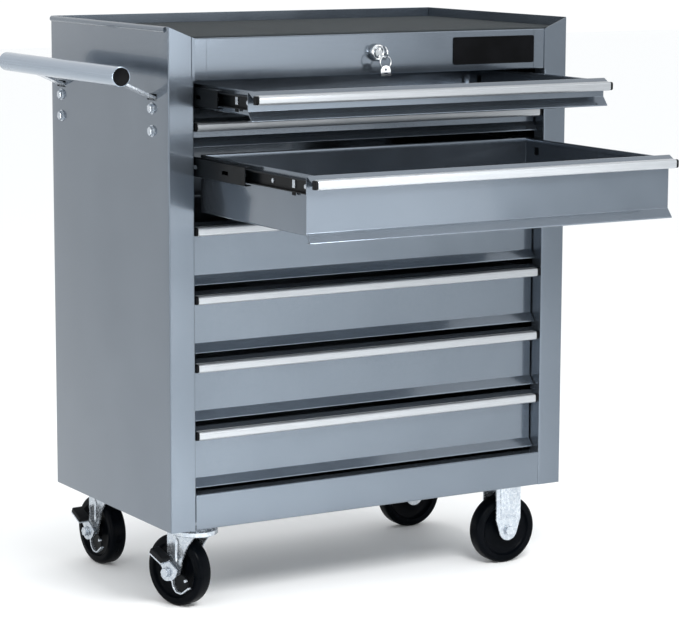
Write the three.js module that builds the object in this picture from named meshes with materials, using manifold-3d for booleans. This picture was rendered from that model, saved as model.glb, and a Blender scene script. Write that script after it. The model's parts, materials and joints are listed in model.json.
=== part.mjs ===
// Rolling tool chest with seven drawers, a side push handle and four casters.
//
// Millimetres, +Z up, drawers open towards -Y. The pieces are laid out in the cabinet's own
// frame: x from the middle of the cabinet, y backwards from its front plane, z up from the
// floor. The group at the end moves that frame so that the origin is the middle of the
// object's bounding box, on the floor.
//
// The chest stands as it is used: drawer 1 is half open, drawer 3 is pulled right out, and
// the two swivel casters have been turned by pushing the chest.

import * as THREE from "three";
import { mergeVertices } from "three/addons/utils/BufferGeometryUtils.js";
import Module from "manifold-3d";

const wasm = await Module();
wasm.setup();

// ---------------------------------------------------------------- driving dimensions

const SHEET = 1.0; // gauge of the cabinet and drawer steel
const GAP = 0.3; // clearance between pieces that touch
const BITE = 0.4; // overlap of two lumps that are welded into one piece
const BEND_RADIUS = 2.0;

const CABINET = { halfWidth: 308, depth: 355, bottom: 119, top: 775, deck: 760 };
const POST = { opening: 271.5, returnDepth: 22, earSeam: 253.5, rearFlange: 15 };
const OPENING = { bottom: 166.3, top: 705.4 };
const RIM_HEM = { thickness: 2.6, height: 8, frontGap: 8 };
const HEADER_FOLD = 25;
const PAN = { underside: 130, height: 16, gauge: 1.2 };
const MAT_THICKNESS = 2.0;
const PLATE = { left: 121.5, width: 131, bottom: 714.5, height: 37, thickness: 1.5, corner: 3 };

const LOCK = { z: 734.5, capRadius: 11.5, bodyRadius: 9.3, boreRadius: 6.5, coreRadius: 6.2 };
const KEY = { bowRadius: 9, bowThickness: 1.8, holeRadius: 2.2, ringRadius: 8.3, wire: 0.8 };
const RING_HANG = [-24, 731]; // (y, z) of the hole in the key that the ring hangs from

const DRAWER = {
  closedFace: 22,
  firstTop: 701.7,
  frontHalfWidth: 269.5,
  boxHalfWidth: 254,
  boxDepth: 300,
  fullTravel: 306,
};
const SHALLOW = { pitch: 45.1, front: 37.7, side: 33 };
const DEEP = { pitch: 89.4, front: 82, side: 77 };
const DRAWERS = [
  { size: SHALLOW, open: 162 },
  { size: SHALLOW, open: 0 },
  { size: DEEP, open: DRAWER.fullTravel },
  { size: DEEP, open: 0 },
  { size: DEEP, open: 0 },
  { size: DEEP, open: 0 },
  { size: DEEP, open: 0 },
];
const LIP = { reach: 12.5, drop: 8 };
const FLARE = { reach: 10.5, height: 12.2, returnWidth: 10 };
const PULL = { back: 11, front: 22, top: -2.5, bottom: -16.5, nose: 5, endCap: 4 };

const SLIDE = { length: 300, below: 16.5, start: 24, outer: 269.9, inner: 258.5, gauge: 1.2 };
const SLIDE_HALF = { cabinet: 13.5, middle: 11.9 };
const UPRIGHT = { front: 40, rear: 312, foot: 20, flange: 12, bottom: 150, top: 704 };

const HANDLE = { x: -372.5, z: 714, radius: 12.7, wall: 1.2, front: 2, rear: 368, capDepth: 12 };
const ARM = { width: 25, thickness: 3, stations: [46, 322.5], foot: 627, bend: 681 };
const BOLT = { heights: [669, 640], head: 4.8, headRadius: 7, shankRadius: 3, holeRadius: 3.4 };

const WHEEL = { radius: 48.7, width: 25, hubLength: 29, bore: 4.4, shoulder: 4, segments: 28 };
const AXLE_RADIUS = 4.0;
const FORK = { legInner: 15, legThickness: 2.5, crownRadius: 29, crownBottom: 115.4, crownTop: 118.6 };
const CASTER_PLATE = { halfWidth: 34, halfDepth: 27, thickness: 2.4 };
const KINGPIN_RADIUS = 6;
// The brake lever's arm and tail as (back, up) from the axle.
const PEDAL_ARM = [
  [-11, 5],
  [-6, 27],
  [22, 27],
  [12, 4],
];
const PEDAL_TAIL = [
  [-9, 8],
  [4, -11],
  [-12, -25],
  [-24, -28],
  [-29, -22],
  [-21, -16],
];
const TRAIL = 28; // how far a swivel wheel's axle trails its kingpin
const SWIVEL_CASTERS = [
  { name: "front_left", x: -248, y: 50, turn: 19 },
  { name: "rear_left", x: -248, y: 302.5, turn: 5 },
];
const FIXED_CASTERS = [
  { name: "front_right", x: 246, y: 52.5 },
  { name: "rear_right", x: 246, y: 302.5 },
];

// ---------------------------------------------------------------- solids

/** Turns a closed geometry into a solid that can be joined and cut. */
function solid(geometry) {
  const bare = geometry.clone();
  bare.deleteAttribute("normal");
  bare.deleteAttribute("uv");
  const merged = mergeVertices(bare, 1e-4);
  const vertProperties = new Float32Array(merged.attributes.position.array);
  const triVerts = new Uint32Array(merged.index.array);
  return new wasm.Manifold(new wasm.Mesh({ numProp: 3, vertProperties, triVerts }));
}

/** Turns a solid back into a geometry that a mesh can show. */
function geometryOf(made) {
  const mesh = made.getMesh();
  const geometry = new THREE.BufferGeometry();
  geometry.setAttribute("position", new THREE.BufferAttribute(mesh.vertProperties, 3));
  geometry.setIndex(new THREE.BufferAttribute(mesh.triVerts, 1));
  geometry.computeVertexNormals();
  return geometry;
}

/** Joins several solids into one. */
const weld = (...lumps) => lumps.reduce((whole, lump) => whole.add(lump));

/** Cuts several solids out of the first one. */
const cut = (whole, ...tools) => tools.reduce((rest, tool) => rest.subtract(tool), whole);

/** A rectangular block between two corners, given as [low, high] along each axis in either order. */
function block(xs, ys, zs) {
  const spans = [xs, ys, zs].map(([a, b]) => [Math.min(a, b), Math.max(a, b)]);
  const sizes = spans.map(([low, high]) => high - low);
  const centre = spans.map(([low, high]) => (low + high) / 2);
  return solid(new THREE.BoxGeometry(...sizes).translate(...centre));
}

const ALONG = {
  x: new THREE.Matrix4().set(0, 0, 1, 0, 1, 0, 0, 0, 0, 1, 0, 0, 0, 0, 0, 1),
  y: new THREE.Matrix4().set(1, 0, 0, 0, 0, 0, -1, 0, 0, 1, 0, 0, 0, 0, 0, 1),
  z: new THREE.Matrix4(),
};

/**
 * Extrudes a closed outline along one axis between two places on it.
 * The outline's two coordinates are (y, z) for x, (x, z) for y and (x, y) for z.
 */
function prism(outline, axis, [from, to]) {
  const low = Math.min(from, to);
  const high = Math.max(from, to);
  const shape = new THREE.Shape(outline.map(([a, b]) => new THREE.Vector2(a, b)));
  const geometry = new THREE.ExtrudeGeometry(shape, { depth: high - low, bevelEnabled: false });
  geometry.applyMatrix4(ALONG[axis]);
  const start = { x: [low, 0, 0], y: [0, high, 0], z: [0, 0, low] }[axis];
  return solid(geometry.translate(...start));
}

/** A round bar or, with few segments, a hexagon head, along one axis. */
function rod(radius, axis, [from, to], [a, b], segments = 24) {
  const length = Math.abs(to - from);
  const middle = (from + to) / 2;
  const geometry = new THREE.CylinderGeometry(radius, radius, length, segments);
  if (axis === "x") geometry.rotateZ(Math.PI / 2).translate(middle, a, b);
  if (axis === "y") geometry.translate(a, middle, b);
  if (axis === "z") geometry.rotateX(Math.PI / 2).translate(a, b, middle);
  return solid(geometry);
}

/** Rounds the inner corners of an open path with arcs of the given radius. */
function bend(path, radius, steps = 2) {
  const points = path.map(([a, b]) => new THREE.Vector2(a, b));
  const rounded = [points[0]];
  for (let i = 1; i < points.length - 1; i++) {
    const here = points[i];
    const into = here.clone().sub(points[i - 1]).normalize();
    const out = points[i + 1].clone().sub(here).normalize();
    const half = Math.acos(THREE.MathUtils.clamp(into.dot(out), -1, 1)) / 2;
    const reach = radius * Math.tan(half);
    const start = here.clone().addScaledVector(into, -reach);
    const end = here.clone().addScaledVector(out, reach);
    const arc = new THREE.QuadraticBezierCurve(start, here, end);
    rounded.push(...arc.getPoints(steps));
  }
  rounded.push(points.at(-1));
  return rounded.map((p) => [p.x, p.y]);
}

/** The closed outline of a sheet whose one face follows a path; +thickness lies to its left. */
function sheetOutline(path, thickness) {
  const points = path.map(([a, b]) => new THREE.Vector2(a, b));
  const leftOf = (from, to) => {
    const along = to.clone().sub(from).normalize();
    return new THREE.Vector2(-along.y, along.x);
  };
  const other = points.map((here, i) => {
    const before = i > 0 ? leftOf(points[i - 1], here) : leftOf(here, points[1]);
    const after = i < points.length - 1 ? leftOf(here, points[i + 1]) : before;
    const mitre = before.clone().add(after);
    return here.clone().addScaledVector(mitre, (2 * thickness) / mitre.lengthSq());
  });
  return [...points, ...other.reverse()].map((p) => [p.x, p.y]);
}

/** A folded sheet: a path with rounded bends, given a thickness and extruded along an axis. */
function folded(path, thickness, axis, span, radius = BEND_RADIUS) {
  return prism(sheetOutline(bend(path, radius), thickness), axis, span);
}

/** A ring or wheel about the X axis from a closed loop of [radius, place along X] points. */
function turned(loop, segments) {
  const points = [...loop, loop[0]].map(([radius, along]) => new THREE.Vector2(radius, along));
  return solid(new THREE.LatheGeometry(points, segments).rotateZ(-Math.PI / 2));
}

const mirrored = (value) => [-value, value];

// ---------------------------------------------------------------- cabinet

/** Side panel with its front post, corner ear, rear flange and hemmed rim. */
function sidePanel(side) {
  const { halfWidth, depth, bottom, top, deck } = CABINET;
  const outer = side * halfWidth;
  const inner = side * POST.opening;
  const seam = side * POST.earSeam;
  const inward = side * SHEET;
  const wallPath = [
    [inner, 0],
    [outer, 0],
    [outer, depth],
    [outer - side * POST.rearFlange, depth],
  ];
  const chamfer = [
    [inner - side * HEADER_FOLD, deck],
    [inner, deck],
    [outer, top],
    [outer, top + HEADER_FOLD],
    [inner - side * HEADER_FOLD, top + HEADER_FOLD],
  ];
  const wall = folded(wallPath, side * SHEET, "z", [bottom, top]);
  const jamb = block([inner, inner + inward], [0, POST.returnDepth], [bottom, OPENING.top]);
  const ear = block([seam, inner + inward], [0, SHEET], [OPENING.top, deck]);
  const earReturn = block([seam, inner + inward], [0, POST.returnDepth], [OPENING.top, OPENING.top + SHEET]);
  const earFold = block([seam, outer - inward / 2], [0, HEADER_FOLD], [deck - SHEET, deck]);
  const hem = block(
    [outer - inward / 2, outer + side * RIM_HEM.thickness],
    [RIM_HEM.frontGap, depth - BEND_RADIUS],
    [top - RIM_HEM.height, top],
  );
  const corner = prism(chamfer, "y", [-SHEET, 2 * SHEET]);
  return weld(cut(wall, corner), jamb, ear, earReturn, earFold, hem);
}

/** The left side panel has a slot for each handle arm and two bolt holes under it. */
function handleSidePanel() {
  const wall = [-CABINET.halfWidth - SHEET, -CABINET.halfWidth + 2 * SHEET];
  const openings = ARM.stations.flatMap((y) => {
    const slot = [y - ARM.width / 2 - SHEET, y + ARM.width / 2 + SHEET];
    const holes = BOLT.heights.map((z) => rod(BOLT.holeRadius, "x", wall, [y, z], 12));
    return [block(wall, slot, [ARM.bend - 1.5, ARM.bend + 7]), ...holes];
  });
  return cut(sidePanel(-1), ...openings);
}

/** Flat rear sheet between the side panels' flanges. */
function backPanel() {
  const rear = CABINET.depth - SHEET - GAP;
  const inside = CABINET.halfWidth - SHEET - GAP;
  return block(mirrored(inside), [rear - SHEET, rear], [CABINET.bottom, CABINET.top]);
}

const REAR_INSIDE = CABINET.depth - 2 * (SHEET + GAP);
const SIDE_INSIDE = CABINET.halfWidth - SHEET - GAP;

/** Floor of the cabinet, a shallow tray that the casters bolt to. */
function basePan() {
  const front = POST.returnDepth + GAP;
  const top = PAN.underside + PAN.height;
  const tray = block(mirrored(SIDE_INSIDE), [front, REAR_INSIDE], [PAN.underside, top]);
  const hollow = block(
    mirrored(SIDE_INSIDE - PAN.gauge),
    [front + PAN.gauge, REAR_INSIDE - PAN.gauge],
    [PAN.underside + PAN.gauge, top + PAN.gauge],
  );
  return cut(tray, hollow);
}

/** Deck under the mat, with its side and rear edges folded down. */
function topPanel() {
  const drop = 12;
  const front = HEADER_FOLD + GAP;
  const bottom = CABINET.deck - drop;
  const tray = block(mirrored(SIDE_INSIDE), [front, REAR_INSIDE], [bottom, CABINET.deck]);
  const hollow = block(
    mirrored(SIDE_INSIDE - SHEET),
    [front - SHEET, REAR_INSIDE - SHEET],
    [bottom - SHEET, CABINET.deck - SHEET],
  );
  return cut(tray, hollow);
}

/** Front panel above the drawers, folded back at the top and bottom, with the lock's hole. */
function headerPanel() {
  const path = [
    [POST.returnDepth, OPENING.top],
    [0, OPENING.top],
    [0, CABINET.deck],
    [HEADER_FOLD, CABINET.deck],
  ];
  const panel = folded(path, -SHEET, "x", mirrored(POST.earSeam - GAP));
  return cut(panel, rod(LOCK.bodyRadius + GAP, "y", [-SHEET, 3 * SHEET], [0, LOCK.z]));
}

/** Channel across the front under the lowest drawer. */
function bottomRail() {
  const path = [
    [POST.returnDepth, CABINET.bottom],
    [0, CABINET.bottom],
    [0, OPENING.bottom],
    [POST.returnDepth, OPENING.bottom],
  ];
  return folded(path, -SHEET, "x", mirrored(POST.opening - GAP));
}

/** Thin mat that lies on the deck, inside the rims. */
function topMat() {
  const bottom = CABINET.deck + GAP;
  return block(mirrored(SIDE_INSIDE - 1), [3, REAR_INSIDE - 1], [bottom, bottom + MAT_THICKNESS]);
}

/** Blank nameplate with rounded corners. */
function nameplate() {
  const { left, width, bottom, height, thickness, corner } = PLATE;
  const right = left + width;
  const top = bottom + height;
  const shape = new THREE.Shape();
  shape.moveTo(left + corner, bottom);
  shape.lineTo(right - corner, bottom).absarc(right - corner, bottom + corner, corner, -Math.PI / 2, 0);
  shape.absarc(right - corner, top - corner, corner, 0, Math.PI / 2);
  shape.absarc(left + corner, top - corner, corner, Math.PI / 2, Math.PI);
  shape.absarc(left + corner, bottom + corner, corner, Math.PI, 1.5 * Math.PI);
  const outline = shape.extractPoints(3).shape.map((p) => [p.x, p.y]);
  return prism(outline, "y", [-GAP - thickness, -GAP]);
}

// ---------------------------------------------------------------- drawer slides

/** Height of the slide's middle line for each drawer. */
const slideHeights = drawerTops().map((top) => top - SLIDE.below);

/** Top edge of each drawer front, from the uppermost drawer down. */
function drawerTops() {
  let top = DRAWER.firstTop;
  return DRAWERS.map(({ size }) => {
    const here = top;
    top -= size.pitch;
    return here;
  });
}

/** One channel member of a slide, open towards the drawer. */
function slideChannel(side, outer, inner, half, z, span) {
  const path = [
    [side * inner, z - half],
    [side * outer, z - half],
    [side * outer, z + half],
    [side * inner, z + half],
  ];
  return prism(sheetOutline(path, side * SLIDE.gauge), "y", span);
}

/** Upright that carries one end of the cabinet members and reaches out to the side panel. */
function upright(side, y, direction) {
  const foot = side * (SLIDE.outer - BITE);
  const flange = side * (SIDE_INSIDE - SHEET);
  const web = y + direction * UPRIGHT.foot;
  const path = [
    [foot, y],
    [foot, web],
    [flange, web],
    [flange, web + direction * UPRIGHT.flange],
  ];
  const outline = sheetOutline(path, -side * direction * SHEET);
  return prism(outline, "z", [UPRIGHT.bottom, UPRIGHT.top]);
}

/** The fixed half of one side's slides: two uprights with a cabinet member for each drawer. */
function slideRack(side) {
  const span = [SLIDE.start, SLIDE.start + SLIDE.length];
  const members = slideHeights.map((z) =>
    slideChannel(side, SLIDE.outer, SLIDE.inner, SLIDE_HALF.cabinet, z, span),
  );
  return weld(upright(side, UPRIGHT.front, 1), upright(side, UPRIGHT.rear, -1), ...members);
}

/** Middle member of a slide, in its drawer's frame. It runs out half as far as the drawer. */
function middleMember(side) {
  const outer = SLIDE.outer - SLIDE.gauge - BITE;
  const start = SLIDE.start - DRAWER.closedFace;
  const span = [start, start + SLIDE.length];
  return slideChannel(side, outer, SLIDE.inner + 1, SLIDE_HALF.middle, -SLIDE.below, span);
}

// ---------------------------------------------------------------- drawers

/** Drawer: an open steel box welded to a folded front, with the front's top edge at z = 0. */
function drawer(size) {
  const { frontHalfWidth, boxHalfWidth, boxDepth } = DRAWER;
  const boxTop = -2;
  const hem = { width: 2.6, height: 6 };
  const hole = { size: 11, y: 268, z: -19 };
  const bendAt = FLARE.height - size.front;
  const frontPath = [
    [-LIP.reach, -LIP.drop],
    [0, -SHEET],
    [0, bendAt],
    [-FLARE.reach, -size.front],
    [FLARE.returnWidth - FLARE.reach, -size.front],
  ];
  const front = folded(frontPath, SHEET, "x", mirrored(frontHalfWidth), SHEET);
  const box = block(mirrored(boxHalfWidth), [SHEET / 2, boxDepth], [-size.side, boxTop]);
  const hollow = block(
    mirrored(boxHalfWidth - SHEET),
    [SHEET, boxDepth - SHEET],
    [SHEET - size.side, boxTop + SHEET],
  );
  const hemHeights = [boxTop - hem.height, boxTop];
  const hemDepths = [boxDepth - hem.width, boxDepth - SHEET / 2];
  const sideHem = (side) => {
    const thickness = [side * (boxHalfWidth - hem.width), side * (boxHalfWidth - SHEET / 2)];
    return block(thickness, [SHEET / 2, boxDepth], hemHeights);
  };
  const rearHem = block(mirrored(boxHalfWidth - SHEET), hemDepths, hemHeights);
  const holes = block(
    mirrored(boxHalfWidth + SHEET),
    [hole.y, hole.y + hole.size],
    [hole.z - hole.size / 2, hole.z + hole.size / 2],
  );
  return weld(cut(cut(box, hollow), holes), sideHem(-1), sideHem(1), rearHem, front);
}

/** Full-width pull, a D-shaped extrusion with a groove at its back for the front's lip. */
function pull() {
  const { back, front, top, bottom, nose, endCap } = PULL;
  const groove = { depth: 3.4, top: -5.2, bottom: -10.2 };
  const shape = new THREE.Shape();
  shape.moveTo(-back, top);
  shape.lineTo(nose - front, top);
  shape.absarc(nose - front, top - nose, nose, Math.PI / 2, Math.PI, false);
  shape.absarc(nose - front, bottom + nose, nose, Math.PI, 1.5 * Math.PI, false);
  shape.lineTo(-back, bottom).lineTo(-back, groove.bottom);
  shape.lineTo(-back - groove.depth, groove.bottom).lineTo(-back - groove.depth, groove.top);
  shape.lineTo(-back, groove.top);
  const outline = shape.extractPoints(3).shape.map((p) => [p.x, p.y]);
  return prism(outline, "x", mirrored(DRAWER.frontHalfWidth - endCap));
}

// ---------------------------------------------------------------- lock

/** Chrome lock body: a round cap on the header with a threaded barrel behind it. */
function lockBarrel() {
  const at = [0, LOCK.z];
  const cap = rod(LOCK.capRadius, "y", [-8, -GAP], at, 32);
  const barrel = rod(LOCK.bodyRadius, "y", [-1, POST.returnDepth + 2], at);
  const bore = rod(LOCK.boreRadius, "y", [-9, POST.returnDepth + 3], at);
  return cut(weld(cap, barrel), bore);
}

/** Turning core with its key in it in front and the locking cam behind. */
function lockCore() {
  const bowCentre = [-20, LOCK.z];
  const halfBow = KEY.bowThickness / 2;
  const core = rod(LOCK.coreRadius, "y", [-9, 27], [0, LOCK.z]);
  const blade = block([-halfBow, halfBow], [-14, -8], [LOCK.z - 3.5, LOCK.z + 3.5]);
  const bow = rod(KEY.bowRadius, "x", mirrored(halfBow), bowCentre, 20);
  const hole = rod(KEY.holeRadius, "x", mirrored(2 * halfBow), RING_HANG, 12);
  const cam = block([-5, 5], [24.6, 27], [LOCK.z - 22, LOCK.z + 7]);
  return weld(core, blade, cut(bow, hole), cam);
}

/** Ring through the key's bow, with a tag hanging on it. */
function keySet() {
  const [y, z] = RING_HANG;
  const centre = z - KEY.ringRadius;
  const torus = new THREE.TorusGeometry(KEY.ringRadius, KEY.wire, 8, 24);
  const ring = solid(torus.rotateX(Math.PI / 2).translate(0, y, centre));
  const low = centre - KEY.ringRadius;
  const tag = weld(
    rod(6.5, "y", [y - 1, y + 1], [0, low - 3.5], 20),
    block([-6.5, 6.5], [y - 1, y + 1], [low - 9.5, low - 3.5]),
  );
  return weld(ring, tag);
}

/** Bar behind the header and down one post, which the cam drives to hold the drawers shut. */
function lockBar() {
  const bar = { left: -10, right: 292, front: 28, rear: 31, width: 14, foot: 185 };
  const depth = [bar.front, bar.rear];
  const cross = block([bar.left, bar.right], depth, [LOCK.z - bar.width / 2, LOCK.z + bar.width / 2]);
  const drop = block([bar.right - bar.width, bar.right], depth, [bar.foot, LOCK.z]);
  const tabs = slideHeights.map((z) => block([bar.right - 20, bar.right - 10], depth, [z - 4, z + 4]));
  return weld(cross, drop, ...tabs);
}

// ---------------------------------------------------------------- handle

/** Hollow push tube along the left side. */
function handleTube() {
  const { radius, wall, x, z, front, rear } = HANDLE;
  return cut(
    rod(radius, "y", [front, rear], [x, z], 28),
    rod(radius - wall, "y", [front - 1, rear + 1], [x, z], 28),
  );
}

/** Plastic plug pressed into one end of the tube. */
function handleCap(from, to) {
  return rod(HANDLE.radius - HANDLE.wall - GAP, "y", [from, to], [HANDLE.x, HANDLE.z], 28);
}

/** Flat arm bolted inside the side panel, out through its slot and up to the tube. */
function handleBracket(y) {
  const inside = -CABINET.halfWidth + SHEET + GAP;
  const path = [
    [inside, ARM.foot],
    [inside, ARM.bend],
    [-368, ARM.bend + 27.4],
  ];
  const span = [y - ARM.width / 2, y + ARM.width / 2];
  const saddle = rod(HANDLE.radius + GAP, "y", [span[0] - 1, span[1] + 1], [HANDLE.x, HANDLE.z], 28);
  const arm = cut(prism(sheetOutline(path, -ARM.thickness), "y", span), saddle);
  const outside = -CABINET.halfWidth - GAP;
  const bolts = BOLT.heights.flatMap((z) => [
    rod(BOLT.headRadius, "x", [outside - BOLT.head, outside], [y, z], 6),
    rod(BOLT.shankRadius, "x", [outside - 1, inside + ARM.thickness + 5], [y, z], 12),
    rod(BOLT.headRadius, "x", [inside + ARM.thickness - BITE, inside + ARM.thickness + 4.5], [y, z], 6),
  ]);
  return weld(arm, ...bolts);
}

// ---------------------------------------------------------------- casters

/**
 * Wheel about the X axis: a hub on the axle, a dished web and a tread with rounded shoulders.
 * Each caster is built in its own frame, with the axle's height measured from the floor.
 */
function wheel() {
  const half = WHEEL.width / 2;
  const hub = WHEEL.hubLength / 2;
  const left = [
    [WHEEL.bore, -hub],
    [12, -hub],
    [13, -5],
    [37, -4],
    [39, -half],
    [WHEEL.radius - 3, -half],
    [WHEEL.radius, WHEEL.shoulder - half],
  ];
  const right = left.map(([radius, along]) => [radius, -along]).reverse();
  return turned([...left, ...right], WHEEL.segments);
}

/** Axle bolt with a head and a nut, through both legs of a fork whose axle lies along an axis. */
function axleBolt(axis, at, reach, headReach) {
  const legOuter = FORK.legInner + FORK.legThickness;
  return weld(
    rod(AXLE_RADIUS, axis, [-headReach + 1, reach], at, 16),
    rod(6.5, axis, [-headReach, -headReach + 4.5], at, 6),
    rod(6.5, axis, [legOuter - BITE, legOuter + 4.5], at, 6),
  );
}

/** Outline of a fork leg: a wide root that tapers to a round end about the axle. */
function legOutline(root, shoulder, axleAt, endRadius, rootHeight) {
  const shape = new THREE.Shape();
  const dip = Math.PI / 9;
  shape.moveTo(root[0], rootHeight);
  shape.lineTo(root[0], shoulder[0]);
  shape.absarc(axleAt, WHEEL.radius, endRadius, Math.PI + dip, 2 * Math.PI - dip, false);
  shape.lineTo(root[1], shoulder[1]);
  shape.lineTo(root[1], rootHeight);
  return shape.extractPoints(4).shape.map((p) => [p.x, p.y]);
}

/** Flat plate that bolts a caster under the pan. */
function casterPlate() {
  const { halfWidth, halfDepth, thickness } = CASTER_PLATE;
  const top = PAN.underside - GAP;
  return block(mirrored(halfWidth), mirrored(halfDepth), [top - thickness, top]);
}

/** Fork of a swivel caster: a round crown with two legs that trail back to the axle. */
function swivelFork() {
  const outline = legOutline([-22, 26], [100, 100], TRAIL, 11, FORK.crownTop - 1);
  const legs = [-1, 1].map((side) => {
    const inner = side * FORK.legInner;
    return prism(outline, "x", [inner, inner + side * FORK.legThickness]);
  });
  const crown = rod(FORK.crownRadius, "z", [FORK.crownBottom, FORK.crownTop], [0, 0], 28);
  const kingpinHole = rod(KINGPIN_RADIUS + GAP, "z", [FORK.crownBottom - 1, FORK.crownTop + 1], [0, 0], 16);
  return weld(cut(crown, kingpinHole), ...legs, axleBolt("x", [TRAIL, WHEEL.radius], 21, 38));
}

/** Top plate of a swivel caster, with the raceway under it and the kingpin riveted through. */
function swivelPlate() {
  const underPan = PAN.underside - GAP;
  const headTop = FORK.crownBottom - GAP;
  return weld(
    casterPlate(),
    rod(26, "z", [FORK.crownTop + GAP, underPan - 2], [0, 0], 28),
    rod(KINGPIN_RADIUS, "z", [headTop - 1, underPan - 2], [0, 0], 16),
    rod(9, "z", [headTop - 3, headTop], [0, 0], 12),
  );
}

/** Brake lever of a swivel caster: a sleeve on the axle, a side plate, a pedal and a curled tail. */
function brakePedal() {
  const [y, z] = [TRAIL, WHEEL.radius];
  const plate = [-32.6, -30.2];
  const legOuter = -FORK.legInner - FORK.legThickness;
  const disc = weld(
    rod(13, "x", plate, [y, z], 24),
    prism(PEDAL_ARM.map(([a, b]) => [y + a, z + b]), "x", plate),
    prism(PEDAL_TAIL.map(([a, b]) => [y + a, z + b]), "x", plate),
  );
  const pedal = folded(
    [
      [plate[1], z + 24],
      [plate[1], z + 31],
      [-49, z + 36],
    ],
    plate[1] - plate[0],
    "y",
    [y - 6, y + 22],
    SHEET,
  );
  const sleeve = rod(8, "x", [plate[0], legOuter - GAP], [y, z], 20);
  const bore = rod(AXLE_RADIUS + GAP, "x", [plate[0] - 1, legOuter + 1], [y, z], 16);
  return cut(weld(disc, pedal, sleeve), bore);
}

/** Fork of a fixed caster: a top plate bolted under the pan, with two tapered legs. */
function fixedFork() {
  const underPan = PAN.underside - GAP;
  const outline = legOutline([-20.5, 20.5], [65, 65], 0, 14.6, underPan - 1);
  const legs = [-1, 1].map((side) => {
    const inner = side * FORK.legInner;
    return prism(outline, "y", [inner, inner + side * FORK.legThickness]);
  });
  const headReach = FORK.legInner + FORK.legThickness + 4;
  return weld(casterPlate(), ...legs, axleBolt("y", [0, WHEEL.radius], 21, headReach));
}

// ---------------------------------------------------------------- assembly

const chest = new THREE.Group();
const cabinetFrame = new THREE.Group();
chest.add(cabinetFrame);

/** Adds one piece as a named mesh with a material of its own. */
function piece(name, made, look, parent = cabinetFrame, place = [0, 0, 0]) {
  const mesh = new THREE.Mesh(geometryOf(made), new THREE.MeshStandardMaterial(look));
  mesh.name = name;
  mesh.position.set(...place);
  parent.add(mesh);
  return mesh;
}

const PAINT = { color: 0x7f8c9b, roughness: 0.25, metalness: 0.6 };
const ALUMINIUM = { color: 0xd8dcdd, roughness: 0.35, metalness: 0.9 };
const TUBE_STEEL = { color: 0xa6b3c3, roughness: 0.3, metalness: 0.8 };
const CHROME = { color: 0xe4e6e8, roughness: 0.08, metalness: 1.0 };
const ZINC = { color: 0xc4cdd4, roughness: 0.35, metalness: 0.9 };
const BLACK_STEEL = { color: 0x16181b, roughness: 0.4, metalness: 0.5 };
const BLACK_PLASTIC = { color: 0x090d16, roughness: 0.5, metalness: 0.0 };
const MAT_RUBBER = { color: 0x585d60, roughness: 0.9, metalness: 0.0 };

piece("side_panel_left", handleSidePanel(), PAINT);
piece("side_panel_right", sidePanel(1), PAINT);
piece("back_panel", backPanel(), PAINT);
piece("base_pan", basePan(), PAINT);
piece("top_panel", topPanel(), PAINT);
piece("header_panel", headerPanel(), PAINT);
piece("bottom_rail", bottomRail(), PAINT);
piece("top_mat", topMat(), MAT_RUBBER);
piece("nameplate", nameplate(), BLACK_PLASTIC);
piece("slide_rack_left", slideRack(-1), BLACK_STEEL);
piece("slide_rack_right", slideRack(1), BLACK_STEEL);

piece("lock_barrel", lockBarrel(), CHROME);
piece("lock_core", lockCore(), CHROME);
piece("key_set", keySet(), CHROME);
piece("lock_bar", lockBar(), ZINC);

piece("handle_tube", handleTube(), TUBE_STEEL);
piece("handle_cap_front", handleCap(HANDLE.front, HANDLE.front + HANDLE.capDepth), BLACK_PLASTIC);
piece("handle_cap_rear", handleCap(HANDLE.rear - HANDLE.capDepth, HANDLE.rear), BLACK_PLASTIC);
piece("handle_bracket_front", handleBracket(ARM.stations[0]), ZINC);
piece("handle_bracket_rear", handleBracket(ARM.stations[1]), ZINC);

DRAWERS.forEach(({ size, open }, i) => {
  const number = i + 1;
  const top = drawerTops()[i];
  const face = [0, DRAWER.closedFace - open, top];
  const halfWay = [0, DRAWER.closedFace - open / 2, top];
  piece(`drawer_${number}`, drawer(size), PAINT, cabinetFrame, face);
  piece(`pull_${number}`, pull(), ALUMINIUM, cabinetFrame, face);
  piece(`slide_${number}_left`, middleMember(-1), BLACK_STEEL, cabinetFrame, halfWay);
  piece(`slide_${number}_right`, middleMember(1), BLACK_STEEL, cabinetFrame, halfWay);
});

for (const { name, x, y, turn } of SWIVEL_CASTERS) {
  const caster = new THREE.Group();
  caster.position.set(x, y, 0);
  cabinetFrame.add(caster);
  const swivel = new THREE.Group();
  swivel.rotation.z = THREE.MathUtils.degToRad(turn);
  caster.add(swivel);
  piece(`caster_plate_${name}`, swivelPlate(), ZINC, caster);
  piece(`caster_fork_${name}`, swivelFork(), ZINC, swivel);
  piece(`wheel_${name}`, wheel(), BLACK_PLASTIC, swivel, [0, TRAIL, WHEEL.radius]);
  piece(`brake_pedal_${name}`, brakePedal(), ZINC, swivel);
}

for (const { name, x, y } of FIXED_CASTERS) {
  const caster = new THREE.Group();
  caster.position.set(x, y, 0);
  cabinetFrame.add(caster);
  piece(`caster_fork_${name}`, fixedFork(), ZINC, caster);
  const turnedWheel = piece(`wheel_${name}`, wheel(), BLACK_PLASTIC, caster, [0, 0, WHEEL.radius]);
  turnedWheel.rotation.z = Math.PI / 2;
}

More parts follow.
